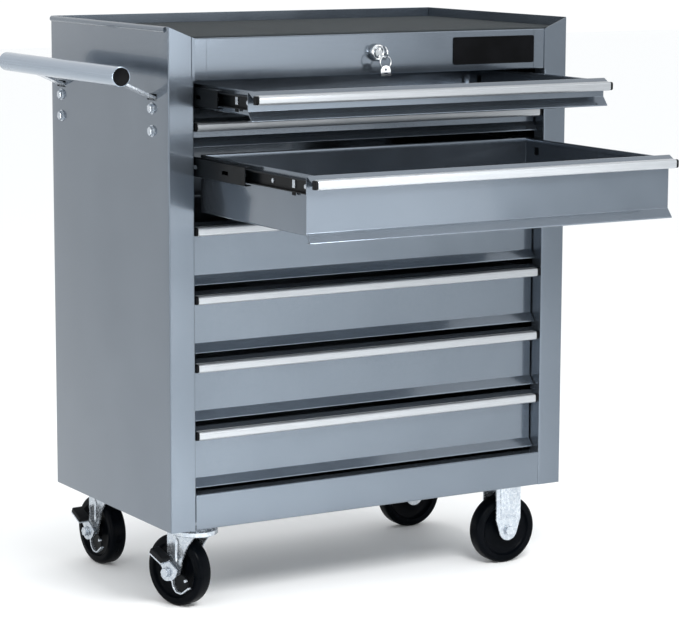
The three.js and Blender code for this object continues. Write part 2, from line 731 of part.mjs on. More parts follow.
// The object's box runs from the handle to the right rim's hem, and from the pull of the
// drawer that is right out to the wheel that trails behind the rear swivel caster.
const leftmost = HANDLE.x - HANDLE.radius;
const rightmost = CABINET.halfWidth + RIM_HEM.thickness;
const foremost = DRAWER.closedFace - DRAWER.fullTravel - PULL.front;
const rearCaster = SWIVEL_CASTERS[1];
const rearTurn = THREE.MathUtils.degToRad(rearCaster.turn);
const treadEdge = WHEEL.width / 2 - WHEEL.shoulder;
const rearReach = Math.cos(rearTurn) * (TRAIL + WHEEL.radius) + Math.sin(rearTurn) * treadEdge;
const rearmost = rearCaster.y + rearReach;
cabinetFrame.position.set(-(leftmost + rightmost) / 2, -(foremost + rearmost) / 2, 0);

export default chest;
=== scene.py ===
"""Rolling tool chest with seven drawers: the visible model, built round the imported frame.

Sizes are in millimetres in the cabinet's own frame (x from the cabinet's middle, y back from
its front plane, z up from the floor) and are turned to metres as each piece is placed.
"""

import json
import logging
import math
from dataclasses import dataclass, field
from enum import Enum
from typing import Iterable, Mapping, Sequence

import bmesh
import bpy
from mathutils import Matrix, Vector

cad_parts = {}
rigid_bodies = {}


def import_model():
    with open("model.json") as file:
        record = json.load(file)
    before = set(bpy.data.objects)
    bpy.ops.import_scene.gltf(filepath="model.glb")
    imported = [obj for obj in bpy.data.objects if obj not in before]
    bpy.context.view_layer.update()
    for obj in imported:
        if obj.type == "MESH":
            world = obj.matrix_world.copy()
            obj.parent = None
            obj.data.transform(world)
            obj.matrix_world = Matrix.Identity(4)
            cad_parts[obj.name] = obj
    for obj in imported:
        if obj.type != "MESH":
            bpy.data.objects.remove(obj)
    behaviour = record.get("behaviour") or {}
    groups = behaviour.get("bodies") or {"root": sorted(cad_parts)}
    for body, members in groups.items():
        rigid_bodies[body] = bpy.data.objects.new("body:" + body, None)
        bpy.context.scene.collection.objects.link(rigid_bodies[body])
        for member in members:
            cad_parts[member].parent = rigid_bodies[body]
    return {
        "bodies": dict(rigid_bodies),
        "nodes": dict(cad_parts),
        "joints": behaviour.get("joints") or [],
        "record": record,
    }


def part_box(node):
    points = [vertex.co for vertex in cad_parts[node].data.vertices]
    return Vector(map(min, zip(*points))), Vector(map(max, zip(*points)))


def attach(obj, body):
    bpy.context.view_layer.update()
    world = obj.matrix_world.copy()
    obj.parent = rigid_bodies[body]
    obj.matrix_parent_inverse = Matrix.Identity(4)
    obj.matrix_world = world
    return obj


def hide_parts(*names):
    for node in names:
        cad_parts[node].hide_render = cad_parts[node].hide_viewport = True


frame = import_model()

LOG = logging.getLogger("tool_chest")

Point2 = tuple[float, float]
Span = tuple[float, float]

MM = 0.001
SHEET = 1.0  # gauge of the cabinet and drawer steel
GAP = 0.3  # play between pieces that only touch
LOCK_HEIGHT = 734.5  # axis of the lock
CLOSED_FACE = 22.0  # how far a shut drawer's face lies behind the front plane
ARM_STATIONS = (46.0, 322.5)  # how far back the push handle's arms stand
ARM_BOLT_HEIGHTS = (669.0, 640.0)
BEND_STEPS = 8  # segments in each bend of a folded sheet
SHARP_EDGE = math.radians(40)  # edges sharper than this are rounded by Shape.softened
WELD_DISTANCE = 1e-4  # millimetres between points that are one


class Axis(Enum):
    """Axis that a prism, rod or lathe runs along; its outline is read as the value says."""

    X = "y, z"
    Y = "x, z"
    Z = "x, y"

    def point(self, a: float, b: float, along: float) -> tuple[float, float, float]:
        """Point at (a, b) of the outline plane and at a distance along the axis."""
        return {Axis.X: (along, a, b), Axis.Y: (a, along, b), Axis.Z: (a, b, along)}[self]


class Slot(Enum):
    """Material slots of the record that new pieces take their finish from."""

    PAINT = "painted_steel"
    MAT = "mat_rubber"
    PLATE = "nameplate_plastic"
    SLIDE = "black_slide_steel"
    CHROME = "lock_chrome"
    ZINC = "zinc_plate"
    TUBE = "handle_steel"
    PLASTIC = "black_plastic"
    WHEEL = "wheel_plastic"
    PULL = "pull_aluminium"


# ---------------------------------------------------------------- nodes and finishes


def linear(hex_colour: int) -> tuple[float, float, float, float]:
    """Turns an sRGB hex colour to linear RGBA.

    Args:
        hex_colour: The colour as 0xRRGGBB.

    Returns:
        Linear red, green, blue and an alpha of 1.
    """
    parts = [(hex_colour >> shift & 0xFF) / 255 for shift in (16, 8, 0)]
    red, green, blue = (c / 12.92 if c <= 0.04045 else ((c + 0.055) / 1.055) ** 2.4 for c in parts)
    return red, green, blue, 1.0


def per_metre(size_mm: float) -> float:
    """Texture scale on Object coordinates for a feature of the given size."""
    return 1.0 / (size_mm * MM)


def add_node(
    tree: bpy.types.NodeTree,
    kind: str,
    settings: Mapping[str | int, object] | None = None,
    links: Mapping[str | int, bpy.types.NodeSocket] | None = None,
) -> bpy.types.Node:
    """Adds a node with its settings and the links that feed it.

    Args:
        tree: Tree that gets the node.
        kind: Node type.
        settings: Properties in lower case, or input sockets by name or index.
        links: Output socket for each input, by name or index.

    Returns:
        The new node.
    """
    node = tree.nodes.new(kind)
    for key, value in (settings or {}).items():
        if isinstance(key, str) and hasattr(node, key):
            setattr(node, key, value)
        else:
            node.inputs[key].default_value = value
    for key, source in (links or {}).items():
        tree.links.new(source, node.inputs[key])
    return node


def new_material(name: str, settings: Mapping[str, object]) -> tuple[bpy.types.Material, bpy.types.Node]:
    """Makes a material with one Principled shader.

    Args:
        name: Material name.
        settings: Constant values for the shader's own sockets.

    Returns:
        The material and its shader node.
    """
    material = bpy.data.materials.new(name)
    material.use_nodes = True
    material.node_tree.nodes.clear()
    shader = add_node(material.node_tree, "ShaderNodeBsdfPrincipled", settings)
    add_node(material.node_tree, "ShaderNodeOutputMaterial", None, {"Surface": shader.outputs[0]})
    material.diffuse_color = shader.inputs["Base Color"].default_value
    return material, shader


@dataclass(frozen=True)
class Variation:
    """Noise that moves one value between two limits over a real distance.

    Attributes:
        size_mm: Distance between highs and lows.
        detail: Octaves of noise.
        stretch: Scale of the noise along x, y and z, to draw streaks.
    """

    size_mm: float
    detail: float = 2.0
    stretch: tuple[float, float, float] = (1.0, 1.0, 1.0)

    def output(self, tree: bpy.types.NodeTree) -> bpy.types.NodeSocket:
        """Adds the noise to a tree and returns its value."""
        coords = add_node(tree, "ShaderNodeTexCoord")
        mapped = add_node(
            tree, "ShaderNodeMapping", {"Scale": self.stretch}, {"Vector": coords.outputs["Object"]}
        )
        noise = add_node(
            tree,
            "ShaderNodeTexNoise",
            {"Scale": per_metre(self.size_mm), "Detail": self.detail},
            {"Vector": mapped.outputs[0]},
        )
        return noise.outputs["Fac"]


NOISE_LOW, NOISE_HIGH = 0.3, 0.7  # a noise value seldom leaves these


def spread(
    tree: bpy.types.NodeTree, value: bpy.types.NodeSocket, low: float, high: float
) -> bpy.types.NodeSocket:
    """Spreads a noise value over a range.

    Args:
        tree: Tree to add to.
        value: Noise value.
        low: Result at the noise's low end.
        high: Result at its high end.

    Returns:
        The spread value.
    """
    settings = {"From Min": NOISE_LOW, "From Max": NOISE_HIGH, "To Min": low, "To Max": high}
    return add_node(tree, "ShaderNodeMapRange", settings, {"Value": value}).outputs[0]


def two_tone(
    tree: bpy.types.NodeTree, value: bpy.types.NodeSocket, dark: int, light: int
) -> bpy.types.NodeSocket:
    """Mixes two colours by a noise value.

    Args:
        tree: Tree to add to.
        value: Noise value.
        dark: Hex colour at the noise's low end.
        light: Hex colour at its high end.

    Returns:
        The mixed colour.
    """
    ramp = add_node(tree, "ShaderNodeValToRGB", None, {"Fac": value})
    first, last = ramp.color_ramp.elements
    first.position, first.color = 0.35, linear(dark)
    last.position, last.color = 0.65, linear(light)
    return ramp.outputs["Color"]


def bump(
    tree: bpy.types.NodeTree,
    height: bpy.types.NodeSocket,
    depth_mm: float,
    strength: float,
    under: bpy.types.NodeSocket | None = None,
) -> bpy.types.NodeSocket:
    """Adds a bump of a real depth, over an earlier one if given.

    Args:
        tree: Tree to add to.
        height: Height value.
        depth_mm: Depth from the value's 0 to 1.
        strength: Share of that depth that shows.
        under: Normal of an earlier bump.

    Returns:
        The bumped normal.
    """
    links = {"Height": height}
    if under is not None:
        links["Normal"] = under
    settings = {"Strength": strength, "Distance": depth_mm * MM}
    return add_node(tree, "ShaderNodeBump", settings, links).outputs["Normal"]


@dataclass(frozen=True)
class MetallicPaint:
    """Gloss metallic powder coat, baked on: orange peel, fine flake and slight panel waviness."""

    name: str = "steel_metallic_powder_coat"
    dark: int = 0x5E6771
    light: int = 0x69727C
    roughness: Span = (0.14, 0.22)
    flake_mm: float = 0.8
    drift_mm: float = 90.0
    wave_mm: float = 150.0
    wave_depth_mm: float = 1.6
    peel_mm: float = 2.4
    peel_depth_mm: float = 0.05

    def make(self) -> bpy.types.Material:
        """Builds the material."""
        settings = {
            "Metallic": 0.8,
            "Coat Weight": 0.35,
            "Coat Roughness": 0.04,
            "Base Color": linear(self.light),
        }
        material, shader = new_material(self.name, settings)
        tree = material.node_tree
        # Aluminium flakes under the clear binder; real ones are 0.05 mm, drawn coarser to show.
        flake = Variation(self.flake_mm, 1.0).output(tree)
        # Film thickness drifts over a hand's breadth.
        drift = Variation(self.drift_mm, 2.0).output(tree)
        tone = add_node(tree, "ShaderNodeMix", {"Factor": 0.35}, {"A": flake, "B": drift}).outputs[0]
        tree.links.new(two_tone(tree, tone, self.dark, self.light), shader.inputs["Base Color"])
        tree.links.new(spread(tree, drift, *self.roughness), shader.inputs["Roughness"])
        # Pressed sheet is never quite flat, and its long waves bend reflections.
        wave = Variation(self.wave_mm, 1.0).output(tree)
        wavy = bump(tree, wave, self.wave_depth_mm, 0.25)
        # Orange peel of powder coat has 2 to 3 mm cells.
        peel = Variation(self.peel_mm, 2.0).output(tree)
        tree.links.new(bump(tree, peel, self.peel_depth_mm, 0.22, wavy), shader.inputs["Normal"])
        return material


@dataclass(frozen=True)
class StreakedMetal:
    """Bare or anodised metal whose tooling left streaks along one axis."""

    name: str
    dark: int
    light: int
    roughness: Span
    stretch: tuple[float, float, float]
    streak_mm: float = 0.6
    depth_mm: float = 0.02
    metallic: float = 1.0
    coat: float = 0.0
    specular: float = 0.5
    cloud_mm: float = 35.0

    def make(self) -> bpy.types.Material:
        """Builds the material."""
        settings = {
            "Metallic": self.metallic,
            "Coat Weight": self.coat,
            "Specular IOR Level": self.specular,
            "Base Color": linear(self.light),
        }
        material, shader = new_material(self.name, settings)
        tree = material.node_tree
        streak = Variation(self.streak_mm, 3.0, self.stretch).output(tree)
        cloud = Variation(self.cloud_mm, 2.0).output(tree)
        tree.links.new(two_tone(tree, streak, self.dark, self.light), shader.inputs["Base Color"])
        tree.links.new(spread(tree, cloud, *self.roughness), shader.inputs["Roughness"])
        tree.links.new(bump(tree, streak, self.depth_mm, 0.4), shader.inputs["Normal"])
        return material


@dataclass(frozen=True)
class BrightZinc:
    """Clear-passivated zinc plate: blotchy, faintly blue, with a fine crystalline grain."""

    name: str = "steel_bright_zinc_plate"
    dark: int = 0xA6AEB7
    light: int = 0xC2C8CE
    roughness: Span = (0.2, 0.3)
    blotch_mm: float = 4.0
    spangle_mm: float = 1.2

    def make(self) -> bpy.types.Material:
        """Builds the material."""
        material, shader = new_material(self.name, {"Metallic": 0.8, "Base Color": linear(self.light)})
        tree = material.node_tree
        blotch = Variation(self.blotch_mm, 3.0).output(tree)
        coords = add_node(tree, "ShaderNodeTexCoord").outputs["Object"]
        scale = {"Scale": per_metre(self.spangle_mm)}
        grain = add_node(tree, "ShaderNodeTexVoronoi", scale, {"Vector": coords}).outputs["Distance"]
        tree.links.new(two_tone(tree, blotch, self.dark, self.light), shader.inputs["Base Color"])
        tree.links.new(spread(tree, blotch, *self.roughness), shader.inputs["Roughness"])
        tree.links.new(bump(tree, grain, 0.012, 0.25), shader.inputs["Normal"])
        return material


@dataclass(frozen=True)
class MouldedPolymer:
    """Moulded plastic or rubber: a fine spark-eroded grain and slow changes of gloss."""

    name: str
    dark: int
    light: int
    roughness: Span
    grain_mm: float
    depth_mm: float
    specular: float = 0.12
    cloud_mm: float = 28.0

    def make(self) -> bpy.types.Material:
        """Builds the material."""
        settings = {
            "IOR": 1.5,
            "Specular IOR Level": self.specular,
            "Base Color": linear(self.light),
        }
        material, shader = new_material(self.name, settings)
        tree = material.node_tree
        grain = Variation(self.grain_mm, 3.0).output(tree)
        cloud = Variation(self.cloud_mm, 3.0).output(tree)
        tree.links.new(two_tone(tree, cloud, self.dark, self.light), shader.inputs["Base Color"])
        tree.links.new(spread(tree, cloud, *self.roughness), shader.inputs["Roughness"])
        tree.links.new(bump(tree, grain, self.depth_mm, 0.5), shader.inputs["Normal"])
        return material


@dataclass(frozen=True)
class PlatedChrome:
    """Decorative chrome plate: mirror bright, with faint polishing haze."""

    name: str = "zinc_casting_chrome_plate"
    dark: int = 0xD0D4D8
    light: int = 0xF0F1F2
    roughness: Span = (0.04, 0.12)
    haze_mm: float = 3.0

    def make(self) -> bpy.types.Material:
        """Builds the material."""
        material, shader = new_material(self.name, {"Metallic": 1.0, "Base Color": linear(self.light)})
        tree = material.node_tree
        haze = Variation(self.haze_mm, 4.0).output(tree)
        tree.links.new(two_tone(tree, haze, self.dark, self.light), shader.inputs["Base Color"])
        tree.links.new(spread(tree, haze, *self.roughness), shader.inputs["Roughness"])
        tree.links.new(bump(tree, haze, 0.02, 0.15), shader.inputs["Normal"])
        return material


# Stretch of the noise for streaks that run along one axis.
ALONG_X = (0.004, 1.0, 1.0)
ALONG_Y = (1.0, 0.004, 1.0)


class Finishes:
    """One material for each slot of the record, and one more for small trim."""

    def __init__(self) -> None:
        """Makes every material once."""
        self.by_slot: dict[Slot, bpy.types.Material] = {
            Slot.PAINT: MetallicPaint().make(),
            # Matt calendered sheet with a leathery grain.
            Slot.MAT: MouldedPolymer(
                "rubber_calendered_mat", 0x34393C, 0x3B4144, (0.7, 0.85), 0.9, 0.15, 0.3
            ).make(),
            # Polished tool: almost a mirror, deep black.
            Slot.PLATE: MouldedPolymer(
                "abs_gloss_black_plate", 0x07080A, 0x0C0D10, (0.12, 0.2), 0.5, 0.01, 0.06
            ).make(),
            # Black electrophoretic coat over rolled steel.
            Slot.SLIDE: StreakedMetal(
                "steel_black_e_coat", 0x06080A, 0x0C0F12, (0.3, 0.42), ALONG_Y, metallic=0.15, specular=0.1
            ).make(),
            Slot.CHROME: PlatedChrome().make(),
            Slot.ZINC: BrightZinc().make(),
            # Silver lacquer over a welded tube, faint draw lines along it.
            Slot.TUBE: StreakedMetal(
                "steel_silver_lacquered_tube",
                0x8A96A3,
                0x95A1AE,
                (0.22, 0.28),
                ALONG_Y,
                streak_mm=0.8,
                depth_mm=0.003,
                metallic=0.85,
                coat=0.3,
            ).make(),
            # Spark-eroded tool: a dull black skin.
            Slot.PLASTIC: MouldedPolymer(
                "abs_moulded_black", 0x08090B, 0x0F1012, (0.35, 0.5), 0.5, 0.03, 0.06
            ).make(),
            # Glossy polypropylene wheel with moulding flow marks.
            Slot.WHEEL: MouldedPolymer(
                "polypropylene_black", 0x030508, 0x07090D, (0.26, 0.38), 0.7, 0.03, 0.03
            ).make(),
            # Satin anodised extrusion: die lines run the length of the pull.
            Slot.PULL: StreakedMetal(
                "aluminium_satin_anodised",
                0x989CA0,
                0xA3A7AB,
                (0.28, 0.34),
                ALONG_X,
                streak_mm=0.5,
                depth_mm=0.002,
                metallic=0.6,
            ).make(),
        }
        self.rubber = MouldedPolymer("rubber_black_cap", 0x0C0D0F, 0x17191C, (0.5, 0.65), 0.6, 0.05).make()


# ---------------------------------------------------------------- mesh building


def rounded(path: Sequence[Point2], radius: float, steps: int = BEND_STEPS) -> list[Point2]:
    """Rounds the inner corners of an open path.

    Args:
        path: Points of the path.
        radius: Bend radius.
        steps: Segments in each bend.

    Returns:
        The path with an arc at each inner point.
    """
    points = [Vector(p) for p in path]
    made = [points[0]]
    for before, here, after in zip(points, points[1:], points[2:]):
        into, out = (here - before).normalized(), (after - here).normalized()
        reach = radius * math.tan(into.angle(out) / 2)
        reach = min(reach, 0.49 * (here - before).length, 0.49 * (after - here).length)
        start, end = here - into * reach, here + out * reach
        for step in range(steps + 1):
            t = step / steps
            made.append(start * (1 - t) ** 2 + here * 2 * t * (1 - t) + end * t * t)
    return [tuple(p) for p in [*made, points[-1]]]


def thickened(path: Sequence[Point2], thickness: float) -> list[Point2]:
    """Outline of a sheet whose one face follows a path.

    Args:
        path: Points of one face.
        thickness: Gauge; positive lies to the path's left.

    Returns:
        The closed outline.
    """
    points = [Vector(p) for p in path]
    lefts = [Vector((-(b - a).y, (b - a).x)).normalized() for a, b in zip(points, points[1:])]
    before, after = [lefts[0], *lefts], [*lefts, lefts[-1]]
    other = []
    for here, left, right in zip(points, before, after):
        mitre = left + right
        other.append(here + mitre * (2 * thickness / mitre.length_squared))
    return [tuple(p) for p in [*points, *reversed(other)]]


def arc(centre: Point2, radius: float, start_deg: float, end_deg: float, steps: int = 8) -> list[Point2]:
    """Points along an arc, both ends included."""
    turns = (math.radians(start_deg + (end_deg - start_deg) * i / steps) for i in range(steps + 1))
    return [(centre[0] + radius * math.cos(a), centre[1] + radius * math.sin(a)) for a in turns]


class Shape:
    """A closed mesh in millimetres that grows by lumps and is joined or cut exactly."""

    def __init__(self) -> None:
        """Starts an empty shape."""
        self.bm = bmesh.new()

    def _copy(self) -> "Shape":
        """A separate copy."""
        made = Shape()
        made.bm = self.bm.copy()
        return made

    @staticmethod
    def prism(outline: Sequence[Point2], axis: Axis, span: Span) -> "Shape":
        """Extrudes a closed outline along an axis.

        Args:
            outline: Points in the axis's outline plane.
            axis: Axis of the extrusion.
            span: Both ends along the axis.

        Returns:
            The closed prism.
        """
        made = Shape()
        ends = [[made.bm.verts.new(axis.point(a, b, at)) for a, b in outline] for at in span]
        made.bm.faces.new(ends[0])
        made.bm.faces.new(reversed(ends[1]))
        count = len(outline)
        for i in range(count):
            j = (i + 1) % count
            made.bm.faces.new((ends[0][j], ends[0][i], ends[1][i], ends[1][j]))
        return made.tidy()

    @staticmethod
    def sheet(path: Sequence[Point2], gauge: float, axis: Axis, span: Span, radius: float = 2.0) -> "Shape":
        """A folded sheet with rounded bends."""
        return Shape.prism(thickened(rounded(path, radius), gauge), axis, span)

    @staticmethod
    def block(xs: Span, ys: Span, zs: Span) -> "Shape":
        """A box between three pairs of limits."""
        (x0, x1), (y0, y1) = sorted(xs), sorted(ys)
        return Shape.prism([(x0, y0), (x1, y0), (x1, y1), (x0, y1)], Axis.Z, tuple(sorted(zs)))

    @staticmethod
    def rod(radius: float, axis: Axis, span: Span, at: Point2, sides: int = 48) -> "Shape":
        """A round or many-sided bar."""
        turns = [2 * math.pi * i / sides for i in range(sides)]
        ring = [(at[0] + radius * math.cos(turn), at[1] + radius * math.sin(turn)) for turn in turns]
        return Shape.prism(ring, axis, span)

    @staticmethod
    def lathe(
        loop: Sequence[Point2], axis: Axis, at: Point2 = (0.0, 0.0), sides: int = 64, ring: bool = True
    ) -> "Shape":
        """Turns a loop of (radius, along) points about an axis.

        Args:
            loop: Profile points; a ring's profile closes on itself, others start and end at radius 0.
            axis: Axis of the lathe.
            at: Centre in the axis's outline plane.
            sides: Segments round the axis.
            ring: Whether the profile closes on itself.

        Returns:
            The closed lathed shape.
        """
        made = Shape()
        rows = []
        for i in range(sides):
            turn = 2 * math.pi * i / sides
            cos, sin = math.cos(turn), math.sin(turn)
            row = [axis.point(at[0] + r * cos, at[1] + r * sin, w) for r, w in loop]
            rows.append([made.bm.verts.new(point) for point in row])
        last = len(loop) if ring else len(loop) - 1
        for i in range(sides):
            row, after = rows[i], rows[(i + 1) % sides]
            for j in range(last):
                k = (j + 1) % len(loop)
                made.bm.faces.new((row[j], row[k], after[k], after[j]))
        return made.tidy()

    def tidy(self) -> "Shape":
        """Merges doubles, drops collapsed faces and turns every face outwards."""
        bmesh.ops.remove_doubles(self.bm, verts=self.bm.verts, dist=WELD_DISTANCE)
        bmesh.ops.dissolve_degenerate(self.bm, dist=WELD_DISTANCE / 10, edges=self.bm.edges)
        bmesh.ops.recalc_face_normals(self.bm, faces=self.bm.faces)
        return self

    def softened(self, radius: float, keep_above: float | None = None, segments: int = 4) -> "Shape":
        """Rounds sharp edges, except those that lie at or above a height."""
        edges = [
            e
            for e in self.bm.edges
            if e.is_manifold
            and e.calc_face_angle(0.0) > SHARP_EDGE
            and (keep_above is None or min(v.co.z for v in e.verts) < keep_above)
        ]
        bmesh.ops.bevel(
            self.bm,
            geom=edges,
            offset=radius,
            segments=segments,
            profile=0.5,
            affect="EDGES",
            clamp_overlap=True,
        )
        return self.tidy()

    def moved(self, x: float = 0.0, y: float = 0.0, z: float = 0.0, turn_deg: float = 0.0) -> "Shape":
        """A copy turned about z and then shifted."""
        made = self._copy()
        made.bm.transform(Matrix.Translation((x, y, z)) @ Matrix.Rotation(math.radians(turn_deg), 4, "Z"))
        return made

    def mirrored(self) -> "Shape":
        """A copy mirrored in x."""
        made = self._copy()
        made.bm.transform(Matrix.Diagonal((-1, 1, 1, 1)))
        bmesh.ops.recalc_face_normals(made.bm, faces=made.bm.faces)
        return made

    def add(self, *others: "Shape") -> "Shape":
        """Adds separate lumps without joining them."""
        for other in others:
            mesh = bpy.data.meshes.new("lump")
            other.bm.to_mesh(mesh)
            self.bm.from_mesh(mesh)
            bpy.data.meshes.remove(mesh)
        return self

    def _boolean(self, others: Sequence["Shape"], operation: str) -> "Shape":
        """Joins or cuts with other shapes, exactly.

        Args:
            others: The other shapes.
            operation: Name of the boolean modifier's operation.

        Returns:
            The result as a new shape.
        """

        def stand_in(shape: "Shape", name: str) -> bpy.types.Object:
            """Puts a shape in the scene, where a modifier can reach it."""
            mesh = bpy.data.meshes.new(name)
            shape.bm.to_mesh(mesh)
            made = bpy.data.objects.new(name, mesh)
            bpy.context.scene.collection.objects.link(made)
            return made

        base = stand_in(self, "boolean_base")
        tools = [stand_in(other, "boolean_tool") for other in others]
        for tool in tools:
            step = base.modifiers.new("step", "BOOLEAN")
            step.operation, step.solver, step.object = operation, "EXACT", tool
        result = bpy.data.meshes.new_from_object(base.evaluated_get(bpy.context.evaluated_depsgraph_get()))
        made = Shape()
        made.bm.from_mesh(result)
        for leftover in (result, base.data, *(tool.data for tool in tools)):
            bpy.data.meshes.remove(leftover)
        return made.tidy()

    def cut(self, *tools: "Shape") -> "Shape":
        """Cuts other shapes out of this one."""
        return self._boolean(tools, "DIFFERENCE")

    def weld(self, *others: "Shape") -> "Shape":
        """Joins overlapping shapes into one closed body."""
        return self._boolean(others, "UNION")


@dataclass(frozen=True)
class Place:
    """Where a working frame lies in the row's frame.

    Attributes:
        x: Shift in metres along x.
        y: Shift in metres along y.
        z: Shift in metres along z.
        turn_deg: Turn about z before the shift.
    """

    x: float
    y: float
    z: float = 0.0
    turn_deg: float = 0.0

    def matrix(self) -> Matrix:
        """Matrix from millimetres in this frame to metres in the row's frame."""
        turn = Matrix.Rotation(math.radians(self.turn_deg), 4, "Z")
        return Matrix.Translation((self.x, self.y, self.z)) @ turn @ Matrix.Scale(MM, 4)

    def shifted(self, x: float = 0.0, y: float = 0.0, z: float = 0.0, turn_deg: float = 0.0) -> "Place":
        """A frame inside this one, shifted in millimetres."""
        return Place(self.x + x * MM, self.y + y * MM, self.z + z * MM, self.turn_deg + turn_deg)


class Workshop:
    """Turns shapes into finished pieces and keeps count of them."""

    def __init__(self, finishes: Finishes) -> None:
        """Keeps the finishes that pieces are dressed in."""
        self.finishes = finishes
        self.count = 0

    def dress(self, made: bpy.types.Object, body: str, replaced: Iterable[str]) -> None:
        """Attaches an object to its body and hides the frame nodes that it stands for."""
        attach(made, body)
        for node in replaced:
            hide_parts(node)
        self.count += 1
        LOG.info("%s rides on %s with %d faces", made.name, body, len(made.data.polygons))

    def piece(
        self,
        name: str,
        shape: Shape,
        slot: Slot,
        body: str,
        place: Place,
        replaced: Iterable[str] = (),
        edge_mm: float = 0.25,
        material: bpy.types.Material | None = None,
        smooth_deg: float = 32.0,
    ) -> bpy.types.Object:
        """Makes one piece from a shape, with its edges broken as on the real part.

        Args:
            name: Piece name.
            shape: Shape in millimetres of its working frame.
            slot: Record slot that it takes its finish from.
            body: Body that it moves with.
            place: Where its working frame lies.
            replaced: Frame nodes that it stands for.
            edge_mm: Width of the broken edges; 0 leaves them sharp.
            material: Finish other than the slot's own.
            smooth_deg: Edges flatter than this are shaded smooth.

        Returns:
            The finished object.
        """
        mesh = bpy.data.meshes.new(name)
        shape.bm.transform(place.matrix())
        bmesh.ops.recalc_face_normals(shape.bm, faces=shape.bm.faces)
        shape.bm.to_mesh(mesh)
        shape.bm.free()
        mesh.polygons.foreach_set("use_smooth", [True] * len(mesh.polygons))
        mesh.set_sharp_from_angle(angle=math.radians(smooth_deg))
        mesh.materials.append(material or self.finishes.by_slot[slot])
        made = bpy.data.objects.new(name, mesh)
        bpy.context.scene.collection.objects.link(made)
        if edge_mm:
            bevel = made.modifiers.new("broken_edges", "BEVEL")
            bevel.width, bevel.segments = edge_mm * MM, 2
            bevel.limit_method, bevel.angle_limit = "ANGLE", math.radians(smooth_deg)
            bevel.harden_normals = True
        self.dress(made, body, replaced)
        return made

    def grown(
        self, name: str, mesh: bpy.types.Mesh, slot: Slot, body: str, place: Place, smooth: bool = False
    ) -> bpy.types.Object:
        """Makes one piece from the plain mesh that a geometry tree left, in millimetres.

        Args:
            name: Piece name.
            mesh: Realised mesh with its material set.
            slot: Record slot; not used.
            body: Body that it moves with.
            place: Where its working frame lies.
            smooth: Whether its faces are shaded smooth.

        Returns:
            The finished object.
        """
        mesh.name = name
        mesh.transform(place.matrix())
        mesh.polygons.foreach_set("use_smooth", [smooth] * len(mesh.polygons))
        made = bpy.data.objects.new(name, mesh)
        bpy.context.scene.collection.objects.link(made)
        self.dress(made, body, ())
        return made


# ---------------------------------------------------------------- geometry trees for what repeats


class SocketKind(Enum):
    """Kinds of named input that the trees use."""

    GEOMETRY = "NodeSocketGeometry"
    FLOAT = "NodeSocketFloat"
    INT = "NodeSocketInt"
    VECTOR = "NodeSocketVector"
    ROTATION = "NodeSocketRotation"
    MATERIAL = "NodeSocketMaterial"


class RepeatTree:
    """A geometry tree with named inputs, run on a mesh of points."""

    name = "repeat"
    inputs: Mapping[str, SocketKind] = {}

    def __init__(self) -> None:
        """Builds the tree once."""
        self.tree = bpy.data.node_groups.new(self.name, "GeometryNodeTree")
        face = self.tree.interface
        face.new_socket("Points", in_out="INPUT", socket_type=SocketKind.GEOMETRY.value)
        for label, kind in {**self.inputs, "Material": SocketKind.MATERIAL}.items():
            face.new_socket(label, in_out="INPUT", socket_type=kind.value)
        face.new_socket("Geometry", in_out="OUTPUT", socket_type=SocketKind.GEOMETRY.value)
        given = add_node(self.tree, "NodeGroupInput")
        body = self.unit(given)
        placed = add_node(
            self.tree,
            "GeometryNodeInstanceOnPoints",
            None,
            {"Points": given.outputs["Points"], "Instance": body, **self.turned(given)},
        )
        real = add_node(self.tree, "GeometryNodeRealizeInstances", None, {0: placed.outputs[0]})
        dressed = add_node(
            self.tree,
            "GeometryNodeSetMaterial",
            None,
            {"Geometry": real.outputs[0], "Material": given.outputs["Material"]},
        )
        add_node(self.tree, "NodeGroupOutput", None, {0: dressed.outputs[0]})

    def unit(self, given: bpy.types.Node) -> bpy.types.NodeSocket:
        """Geometry of one repeat; each tree has its own."""
        raise NotImplementedError

    def turned(self, given: bpy.types.Node) -> dict[str, bpy.types.NodeSocket]:
        """Rotation link for the instances, if the tree has one."""
        return {"Rotation": given.outputs["Turn"]} if "Turn" in self.inputs else {}

    def run(self, points: Sequence[Sequence[float]], values: Mapping[str, object]) -> bpy.types.Mesh:
        """Runs the tree on a list of points.

        Args:
            points: Where each repeat stands, in millimetres.
            values: Value of each named input.

        Returns:
            The realised mesh, with no modifier left.
        """
        seedbed = bpy.data.meshes.new("points")
        seedbed.from_pydata([tuple(p) for p in points], [], [])
        holder = bpy.data.objects.new("points", seedbed)
        bpy.context.scene.collection.objects.link(holder)
        modifier = holder.modifiers.new(self.name, "NODES")
        modifier.node_group = self.tree
        for item in self.tree.interface.items_tree:
            if item.in_out == "INPUT" and item.name in values:
                modifier[item.identifier] = values[item.name]
        depsgraph = bpy.context.evaluated_depsgraph_get()
        made = bpy.data.meshes.new_from_object(holder.evaluated_get(depsgraph))
        bpy.data.meshes.remove(seedbed)
        return made


